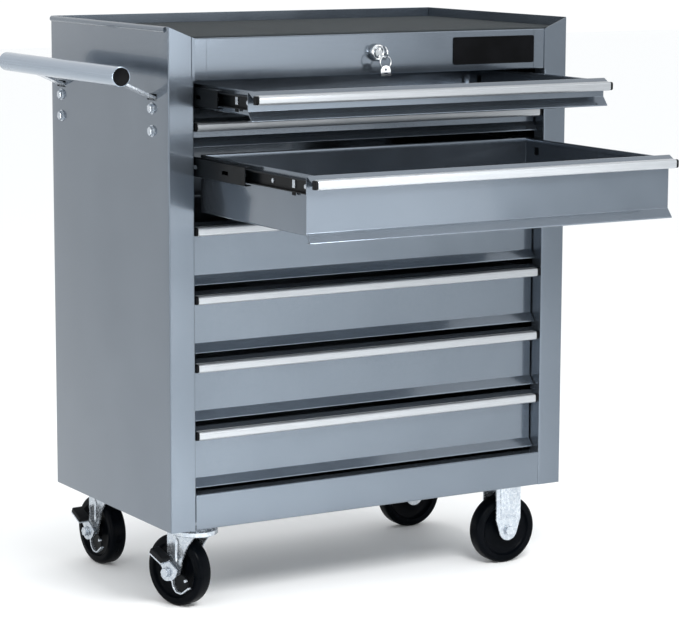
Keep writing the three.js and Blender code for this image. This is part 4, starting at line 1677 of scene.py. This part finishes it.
@dataclass
class Wheel:
    """Moulded wheel about its own x axis: rounded tread, dished web and a hub."""

    radius: float = 48.7
    half: float = 12.5
    hub_half: float = 14.5
    bore: float = 4.4

    def half_loop(self) -> list[Point2]:
        """Left half of the section as (radius, along x)."""
        tread = arc((self.radius - 6.0, -self.half + 6.0), 6.0, -90, -14, 7)
        return [
            (self.bore, -self.hub_half + 0.6),
            (self.bore + 0.6, -self.hub_half),
            (10.4, -self.hub_half),
            (11.2, -self.hub_half + 0.8),
            (11.8, -9.0),
            (13.2, -7.0),
            (16.0, -6.2),
            (24.0, -5.6),
            (32.0, -6.0),
            (35.0, -7.2),
            (36.8, -9.6),
            (37.4, -self.half + 0.8),
            (38.2, -self.half),
            *tread,
            (self.radius, -3.0),
        ]

    def shape(self) -> Shape:
        """The whole wheel."""
        left = self.half_loop()
        right = [(r, -w) for r, w in reversed(left)]
        return Shape.lathe([*left, *right], Axis.X, sides=96)


@dataclass
class Caster:
    """Bolted caster under the cabinet's floor."""

    name: str
    x: float
    y: float
    pan_underside: float = 130.0
    plate_half: tuple[float, float] = (34.0, 27.0)
    plate_gauge: float = 2.4
    leg_inner: float = 15.0
    leg_gauge: float = 2.5
    axle_height: float = 48.7
    bolt_half: Point2 = (26.0, 20.0)
    wheel: Wheel = field(default_factory=Wheel)

    @property
    def plate_top(self) -> float:
        """Height of the plate's top face."""
        return self.pan_underside - GAP

    @property
    def plate_under(self) -> float:
        """Height of the plate's underside."""
        return self.plate_top - self.plate_gauge

    def bolt_points(self) -> list[tuple[float, float, float]]:
        """Centres of the four plate bolts, on the plate's underside."""
        across, along = self.bolt_half
        return [(sx * across, sy * along, self.plate_under) for sx in (-1, 1) for sy in (-1, 1)]

    def plate(self) -> Shape:
        """Top plate with rounded corners and four slotted holes."""
        (hx, hy), r, top = self.plate_half, 5.0, self.plate_top
        corners = [((hx - r, hy - r), 0), ((r - hx, hy - r), 90)]
        corners += [((r - hx, r - hy), 180), ((hx - r, r - hy), 270)]
        outline = [p for centre, start in corners for p in arc(centre, r, start, start + 90, 5)]
        slots = [
            Shape.block((x - 4.5, x + 4.5), (y - 3.2, y + 3.2), (top - 4, top + 1))
            for x, y, _ in self.bolt_points()
        ]
        return Shape.prism(outline, Axis.Z, (self.plate_under, top)).cut(*slots)


@dataclass
class SwivelCaster(Caster):
    """Swivel caster with a wheel brake."""

    turn_deg: float = 0.0
    trail: float = 28.0
    crown_radius: float = 31.0
    crown_bottom: float = 108.0
    crown_top: float = 111.6
    rim_bottom: float = 102.4
    kingpin: float = 6.0
    lever: Span = (-25.4, -23.2)
    pedal_reach: float = -39.0

    def raceway(self) -> Shape:
        """Pressed raceway under the plate, with the kingpin's peened head below the crown."""
        top, low = self.plate_top, self.crown_bottom - 3.3
        loop = [
            (0.0, top - 1.0),
            (26.0, top - 1.0),
            (26.0, top - 6.0),
            (23.0, self.crown_top + 3.0),
            (21.0, self.crown_top + GAP),
            (self.kingpin, self.crown_top + GAP),
            (self.kingpin, self.crown_bottom - 0.4),
            (9.0, self.crown_bottom - 0.4),
            (8.6, low + 0.8),
            (5.0, low),
            (0.0, low),
        ]
        return Shape.lathe(loop, Axis.Z, ring=False)

    def crown(self) -> Shape:
        """Round crown of the fork, its rim rolled down."""
        bore = self.kingpin + GAP
        low, high, rim, foot = self.crown_bottom, self.crown_top, self.crown_radius, self.rim_bottom
        loop = [
            (bore, low),
            (rim - 4.4, low),
            (rim - 3.0, low - 1.4),
            (rim - 2.6, foot + 0.8),
            (rim - 1.3, foot),
            (rim, foot + 1.2),
            (rim, high - 2.6),
            (rim - 1.2, high - 0.8),
            (rim - 3.2, high),
            (bore, high),
        ]
        return Shape.lathe(loop, Axis.Z)

    def leg(self, span: Span) -> Shape:
        """One leg: upright at the back, swept forward into the crown and round at the axle."""
        back, top = self.trail + 6.0, self.crown_top - 1.0
        sweep = [(13.0, 46.0), (10.0, 56.0), (7.0, 66.5), (3.0, 77.0)]
        sweep += [(-3.5, 87.5), (-12.0, 98.0), (-20.0, 105.0)]
        outline = [
            (back, top),
            (back, self.axle_height + 12.0),
            *arc((self.trail, self.axle_height), 10.5, 20, -125, 12),
            *sweep,
            (-23.0, top),
        ]
        return Shape.prism(outline, Axis.X, span)

    def flute(self, x: float) -> Shape:
        """Round-ended bar that presses the flute down a leg's outside."""
        loop = [(0.0, 59.0), (3.4, 60.4), (5.4, 63.5), (6.0, 68.0)]
        loop += [(6.0, 90.0), (5.2, 95.0), (3.0, 98.6), (0.0, 100.0)]
        return Shape.lathe(loop, Axis.Z, (x, 15.5), 48, ring=False)

    def fork(self) -> Shape:
        """Crown and both legs, trailing back to the axle, with a flute down each leg."""
        outer, back = self.leg_inner + self.leg_gauge, self.trail + 6.0
        thick = (self.crown_bottom + 0.1, self.crown_top - 0.2)
        bridge = Shape.block(mirrored_span(outer), (0.0, back), thick)
        made = self.crown().weld(bridge)
        for side in (-1, 1):
            span = (min(side * self.leg_inner, side * outer), max(side * self.leg_inner, side * outer))
            made = made.weld(self.leg(span)).cut(self.flute(side * (outer + 4.5)))
        return made

    def axle(self) -> Shape:
        """Axle bolt with its head, nut and washers."""
        at = (self.trail, self.axle_height)
        outer, head = self.leg_inner + self.leg_gauge, self.lever[0] - 0.2
        lumps = [
            Shape.rod(4.0, Axis.X, (head - 3.0, 24.2), at, 24),
            Shape.rod(7.4, Axis.X, (head - 0.9, head), at, 32),
            Shape.rod(6.5, Axis.X, (head - 5.0, head - 0.8), at, 6),
            Shape.rod(7.6, Axis.X, (outer + 0.1, outer + 1.0), at, 32),
            Shape.rod(6.5, Axis.X, (outer + 0.9, outer + 5.6), at, 6),
        ]
        return lumps[0].add(*lumps[1:])

    def pedal_line(self, rise: float) -> list[Point2]:
        """A sloping line along the pedal, raised off its lower face."""
        return [(26.0 - 0.45 * rise, 62.0 + 0.89 * rise), (47.5 - 0.45 * rise, 73.5 + 0.89 * rise)]

    def brake(self) -> Shape:
        """Brake lever: a side plate on the axle, the sloping pedal and a tail curled round the cam."""
        y, z = self.trail, self.axle_height
        side = [(8.0, 53.0), (12.0, 44.0), (18.5, 38.5), *arc((y, z), 12.0, 245, 330, 6)]
        side += [(36.0, 53.5), (41.0, 59.5), (45.5, 67.0), (45.0, 72.5), (33.0, 70.5), (29.0, 69.0)]
        bore = Shape.rod(4.3, Axis.X, (self.lever[0] - 1, self.lever[1] + 1), (y, z), 24)
        plate = Shape.prism(side, Axis.X, self.lever).cut(bore)
        slope = [*self.pedal_line(0.0), *reversed(self.pedal_line(2.2))]
        pedal = Shape.prism(slope, Axis.X, (self.pedal_reach, self.lever[1] - 0.4))
        curl = rounded([(19.5, 41.0), (17.0, 30.0), (11.0, 23.5), (1.0, 22.5), (-12.5, 32.5)], 7.0)
        tail = Shape.prism(thickened(curl, -2.0), Axis.X, (self.lever[0] - 0.5, self.lever[1] + 2.6))
        rivet = Shape.rod(2.0, Axis.X, (self.lever[0] - 0.2, self.lever[1] + 1.4), (-5.5, 42.0), 20)
        return plate.add(pedal, tail, rivet)

    def cam(self) -> Shape:
        """Black cam that presses on the wheel's hub."""
        return Shape.rod(11.0, Axis.X, (self.lever[1] + 0.3, self.lever[1] + 3.4), (3.5, 37.5), 40)

    def pedal_pad(self) -> Shape:
        """Rubber pad slipped over the pedal."""
        slope = [*self.pedal_line(2.4), *reversed(self.pedal_line(10.0))]
        return Shape.prism(slope, Axis.X, (self.pedal_reach - 1.0, self.lever[1] - 0.4)).softened(1.6)

    def build(self, kit: Kit) -> None:
        """Builds the caster at its place and turn."""
        shop, body = kit.shop, f"caster_fork_{self.name}"
        still = kit.cabinet.shifted(self.x, self.y)
        swung = kit.cabinet.shifted(self.x, self.y, turn_deg=self.turn_deg)
        plate = f"caster_plate_{self.name}"
        top = self.plate().add(self.raceway())
        shop.piece(f"{plate}_steel", top, Slot.ZINC, "root", still, [plate], edge_mm=0.3)
        kit.fasten(f"{plate}_bolts", CASTER_BOLT, "down", self.bolt_points(), Slot.ZINC, "root", still)
        shop.piece(f"{body}_steel", self.fork(), Slot.ZINC, body, swung, [body], edge_mm=0.5)
        shop.piece(f"{body}_axle", self.axle(), Slot.ZINC, body, swung, edge_mm=0.4)
        wheel = self.wheel.shape().moved(y=self.trail, z=self.axle_height)
        node = f"wheel_{self.name}"
        shop.piece(f"{node}_moulding", wheel, Slot.WHEEL, node, swung, [node], edge_mm=0)
        brake = f"brake_pedal_{self.name}"
        shop.piece(f"{brake}_steel", self.brake(), Slot.ZINC, brake, swung, [brake], edge_mm=0.4)
        shop.piece(f"{brake}_cam", self.cam(), Slot.SLIDE, brake, swung, edge_mm=0.6)
        pad, rubber = self.pedal_pad(), shop.finishes.rubber
        shop.piece(f"{brake}_pad", pad, Slot.PLASTIC, brake, swung, edge_mm=0, material=rubber)


@dataclass
class FixedCaster(Caster):
    """Fixed caster: one pressed fork under the plate, its axle along y."""

    leg_half: float = 20.5
    leg_shoulder: float = 65.0
    leg_end: float = 14.6

    @property
    def leg_top(self) -> float:
        """Height where the legs meet the plate."""
        return self.pan_underside - 1.3

    def leg(self) -> list[Point2]:
        """Outline of a leg: straight down from the plate, then tapering to a round end."""
        half, shoulder = self.leg_half, self.leg_shoulder
        end = arc((0.0, self.axle_height), self.leg_end, 200, 340, 14)
        return [(-half, self.leg_top), (-half, shoulder), *end, (half, shoulder), (half, self.leg_top)]

    def rib(self) -> list[Point2]:
        """Outline of the rib pressed down the middle of a leg."""
        half, shoulder = 0.7 * self.leg_half, self.leg_shoulder
        foot = arc((0.0, self.axle_height + self.leg_end + 7.0), 4.0, 180, 360, 8)
        waist = 0.9 * half
        return [(-half, self.leg_top), (-waist, shoulder), *foot, (waist, shoulder), (half, self.leg_top)]

    def fork(self) -> Shape:
        """Both legs with a raised rib, and the bridge that joins them under the plate."""
        outer, under = self.leg_inner + self.leg_gauge, self.plate_under
        thick = (under - 2.4, under + 0.4)
        made = Shape.block(mirrored_span(self.leg_half), mirrored_span(outer), thick)
        for side in (-1, 1):
            near, far = side * self.leg_inner, side * outer
            leg = Shape.prism(self.leg(), Axis.Y, tuple(sorted((near, far))))
            rib = Shape.prism(self.rib(), Axis.Y, tuple(sorted((near + side, far + side * 1.1))))
            made = made.weld(leg, rib.softened(0.7))
        return made

    def axle(self) -> Shape:
        """Axle bolt with its head, nut and washers."""
        at, outer = (0.0, self.axle_height), self.leg_inner + self.leg_gauge
        made = Shape.rod(4.0, Axis.Y, (-outer - 4.0, outer + 5.0), at, 24)
        return made.weld(
            Shape.rod(6.5, Axis.Y, (-outer - 4.2, -outer - 0.7), at, 6),
            Shape.rod(7.6, Axis.Y, (-outer - 0.9, -outer + 0.1), at, 32),
            Shape.rod(6.5, Axis.Y, (outer + 0.8, outer + 4.9), at, 6),
            Shape.rod(7.6, Axis.Y, (outer - 0.1, outer + 0.9), at, 32),
        )

    def build(self, kit: Kit) -> None:
        """Builds the caster at its place."""
        shop, node = kit.shop, f"caster_fork_{self.name}"
        place = kit.cabinet.shifted(self.x, self.y)
        steel = self.plate().add(self.fork())
        shop.piece(f"{node}_steel", steel, Slot.ZINC, "root", place, [node], edge_mm=0.5)
        shop.piece(f"{node}_axle", self.axle(), Slot.ZINC, "root", place, edge_mm=0.4)
        kit.fasten(f"{node}_bolts", CASTER_BOLT, "down", self.bolt_points(), Slot.ZINC, "root", place)
        wheel = self.wheel.shape().moved(z=self.axle_height)
        body = f"wheel_{self.name}"
        across = kit.cabinet.shifted(self.x, self.y, turn_deg=90.0)
        shop.piece(f"{body}_moulding", wheel, Slot.WHEEL, body, across, [body], edge_mm=0)


@dataclass
class Chest:
    """The whole tool chest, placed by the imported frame."""

    frame: Mapping[str, object]
    sizes: tuple[DrawerSize, ...] = (SHALLOW, SHALLOW, DEEP, DEEP, DEEP, DEEP, DEEP)

    def cabinet_place(self) -> Place:
        """Where the cabinet's own frame lies: the header's middle and front plane, on the floor."""
        low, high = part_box("header_panel")
        return Place((low.x + high.x) / 2, low.y)

    def face_place(self, number: int, cabinet: Place, share: float = 1.0) -> Place:
        """Frame of a drawer, or of a slide member that runs out only a share of its travel."""
        low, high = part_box(f"pull_{number}")
        drawer = Drawer(number, self.sizes[number - 1])
        face = (low.y - cabinet.y) / MM + drawer.pull_front
        top = high.z / MM - drawer.pull_node_top
        run_out = CLOSED_FACE - face
        return cabinet.shifted(y=CLOSED_FACE - share * run_out, z=top)

    def caster_spot(self, node: str, cabinet: Place) -> Point2:
        """Middle of a caster's top plate in the cabinet's frame."""
        low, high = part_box(node)
        return ((low.x + high.x) / 2 - cabinet.x) / MM, ((low.y + high.y) / 2 - cabinet.y) / MM

    def build(self) -> int:
        """Builds every sub-assembly in order.

        Returns:
            How many pieces were made.
        """
        shop = Workshop(Finishes())
        kit = Kit(shop, self.cabinet_place(), FastenerTree(), BallTree(), RibTree())
        for node in ("base_pan", "top_panel"):
            self.coat(node, shop.finishes.by_slot[Slot.PAINT])
        self.coat("lock_bar", shop.finishes.by_slot[Slot.ZINC])
        Cabinet().build(kit)
        Nameplate().build(kit)
        slides = Slides()
        faces = {n: self.face_place(n, kit.cabinet) for n in range(1, len(self.sizes) + 1)}
        slides.build_racks(kit, [face.z / MM - slides.below for face in faces.values()])
        for number, face in faces.items():
            Drawer(number, self.sizes[number - 1]).build(kit, face)
            slides.build_for_drawer(kit, number, self.face_place(number, kit.cabinet, 0.5), face)
        Lock().build(kit)
        PushHandle().build(kit)
        for name, turn in (("front_left", 19.0), ("rear_left", 5.0)):
            spot = self.caster_spot(f"caster_plate_{name}", kit.cabinet)
            SwivelCaster(name, *spot, turn_deg=turn).build(kit)
        for name in ("front_right", "rear_right"):
            spot = self.caster_spot(f"caster_fork_{name}", kit.cabinet)
            FixedCaster(name, *spot).build(kit)
        return shop.count

    def coat(self, node: str, material: bpy.types.Material) -> None:
        """Dresses a frame node that keeps its own shape."""
        made = self.frame["nodes"][node]
        if made.material_slots:
            made.material_slots[0].material = material
        else:
            made.data.materials.append(material)


@dataclass(frozen=True)
class Lamp:
    """One soft rectangular light, in metres and watts.

    Attributes:
        name: Name of the light.
        at: Where it hangs.
        target: Point that it faces.
        size: Its width and height.
        power: Its power.
    """

    name: str
    at: tuple[float, float, float]
    target: tuple[float, float, float]
    size: Point2
    power: float

    def hang(self) -> None:
        """Adds the light to the scene."""
        data = bpy.data.lights.new(self.name, "AREA")
        data.shape, data.energy = "RECTANGLE", self.power
        data.size, data.size_y = self.size
        made = bpy.data.objects.new(self.name, data)
        made.location = self.at
        facing = Vector(self.target) - Vector(self.at)
        made.rotation_euler = facing.to_track_quat("-Z", "Y").to_euler()
        bpy.context.scene.collection.objects.link(made)


MIDDLE = (0.0, 0.1, 0.4)  # middle of the chest
LAMPS = (
    Lamp("key_left", (-2.4, -2.4, 2.8), MIDDLE, (0.7, 1.2), 6.0),
    Lamp("edge_right", (2.2, -2.5, 2.6), MIDDLE, (1.2, 1.2), 8.0),
    Lamp("top", (0.2, -0.2, 2.8), MIDDLE, (1.1, 0.9), 18.0),
    # Low upright strip, for the bright line down the corner posts' bends.
    Lamp("strip_left", (-2.7, -1.2, 0.45), (0.0, 0.0, 0.45), (0.5, 0.8), 8.0),
    # Pools of light on the floor that the left of the front reflects.
    Lamp("floor_near", (-0.1, -0.8, 0.8), (-0.1, -0.8, 0.0), (0.4, 0.4), 13.0),
    Lamp("floor_middle", (0.65, -2.3, 0.8), (0.6, -2.3, 0.0), (0.4, 0.4), 12.0),
    # Standing panel that the header and the left of the front reflect.
    Lamp("panel_front", (1.3, -3.4, 0.62), (0.8, 0.0, 0.62), (1.5, 1.15), 8.5),
    # Pool of light that the corner post's bend reflects.
    Lamp("floor_left", (-2.1, -1.1, 1.4), (-2.1, -1.1, 0.0), (1.0, 1.0), 14.0),
)


@dataclass
class Studio:
    """Pale floor, soft light and the camera."""

    camera_mm: tuple[float, float, float] = (-1803.7, -2949.8, 938.1)
    yaw_deg: float = 30.66
    pitch_deg: float = -9.005
    roll_deg: float = 0.180
    lens_mm: float = 138.2
    sensor_mm: float = 36.0
    floor_half: float = 12.0
    sky: tuple[float, float, float, float] = (0.98, 0.99, 1.0, 1.0)
    sky_strength: float = 1.04

    def camera(self, cabinet: Place) -> None:
        """Puts the camera at its angle in the cabinet's frame."""
        data = bpy.data.cameras.new("camera")
        data.lens, data.sensor_width, data.clip_end = self.lens_mm, self.sensor_mm, 50.0
        made = bpy.data.objects.new("camera", data)
        bpy.context.scene.collection.objects.link(made)
        yaw, pitch, roll = (math.radians(v) for v in (self.yaw_deg, self.pitch_deg, self.roll_deg))
        ahead = Vector((math.sin(yaw) * math.cos(pitch), math.cos(yaw) * math.cos(pitch), math.sin(pitch)))
        level = Vector((math.cos(yaw), -math.sin(yaw), 0.0))
        above = level.cross(ahead)
        right = level * math.cos(roll) + above * math.sin(roll)
        up = above * math.cos(roll) - level * math.sin(roll)
        turn = Matrix((right, up, -ahead)).transposed().to_4x4()
        made.matrix_world = Matrix.Translation(cabinet.matrix() @ Vector(self.camera_mm)) @ turn
        bpy.context.scene.camera = made

    def floor(self) -> None:
        """Lays a wide pale floor."""
        mesh, half = bpy.data.meshes.new("floor"), self.floor_half
        corners = [(-half, -half, 0), (half, -half, 0), (half, half, 0), (-half, half, 0)]
        mesh.from_pydata(corners, [], [(0, 1, 2, 3)])
        made = bpy.data.objects.new("floor", mesh)
        settings = {"Base Color": linear(0xF9FAFA), "Roughness": 0.9}
        mesh.materials.append(new_material("floor_pale_paper", settings)[0])
        bpy.context.scene.collection.objects.link(made)

    def build(self, cabinet: Place) -> None:
        """Builds the whole studio."""
        scene = bpy.context.scene
        scene.view_settings.view_transform = "Standard"
        world = bpy.data.worlds.new("studio")
        world.use_nodes = True
        back = world.node_tree.nodes["Background"]
        back.inputs["Color"].default_value = self.sky
        back.inputs["Strength"].default_value = self.sky_strength
        scene.world = world
        self.floor()
        self.camera(cabinet)
        for lamp in LAMPS:
            lamp.hang()


def main() -> None:
    """Builds the chest and its studio."""
    logging.basicConfig(level=logging.INFO, format="%(name)s: %(message)s")
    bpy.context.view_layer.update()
    chest = Chest(frame)
    Studio().build(chest.cabinet_place())
    LOG.info("%d pieces made", chest.build())


if __name__ == "__main__":
    main()
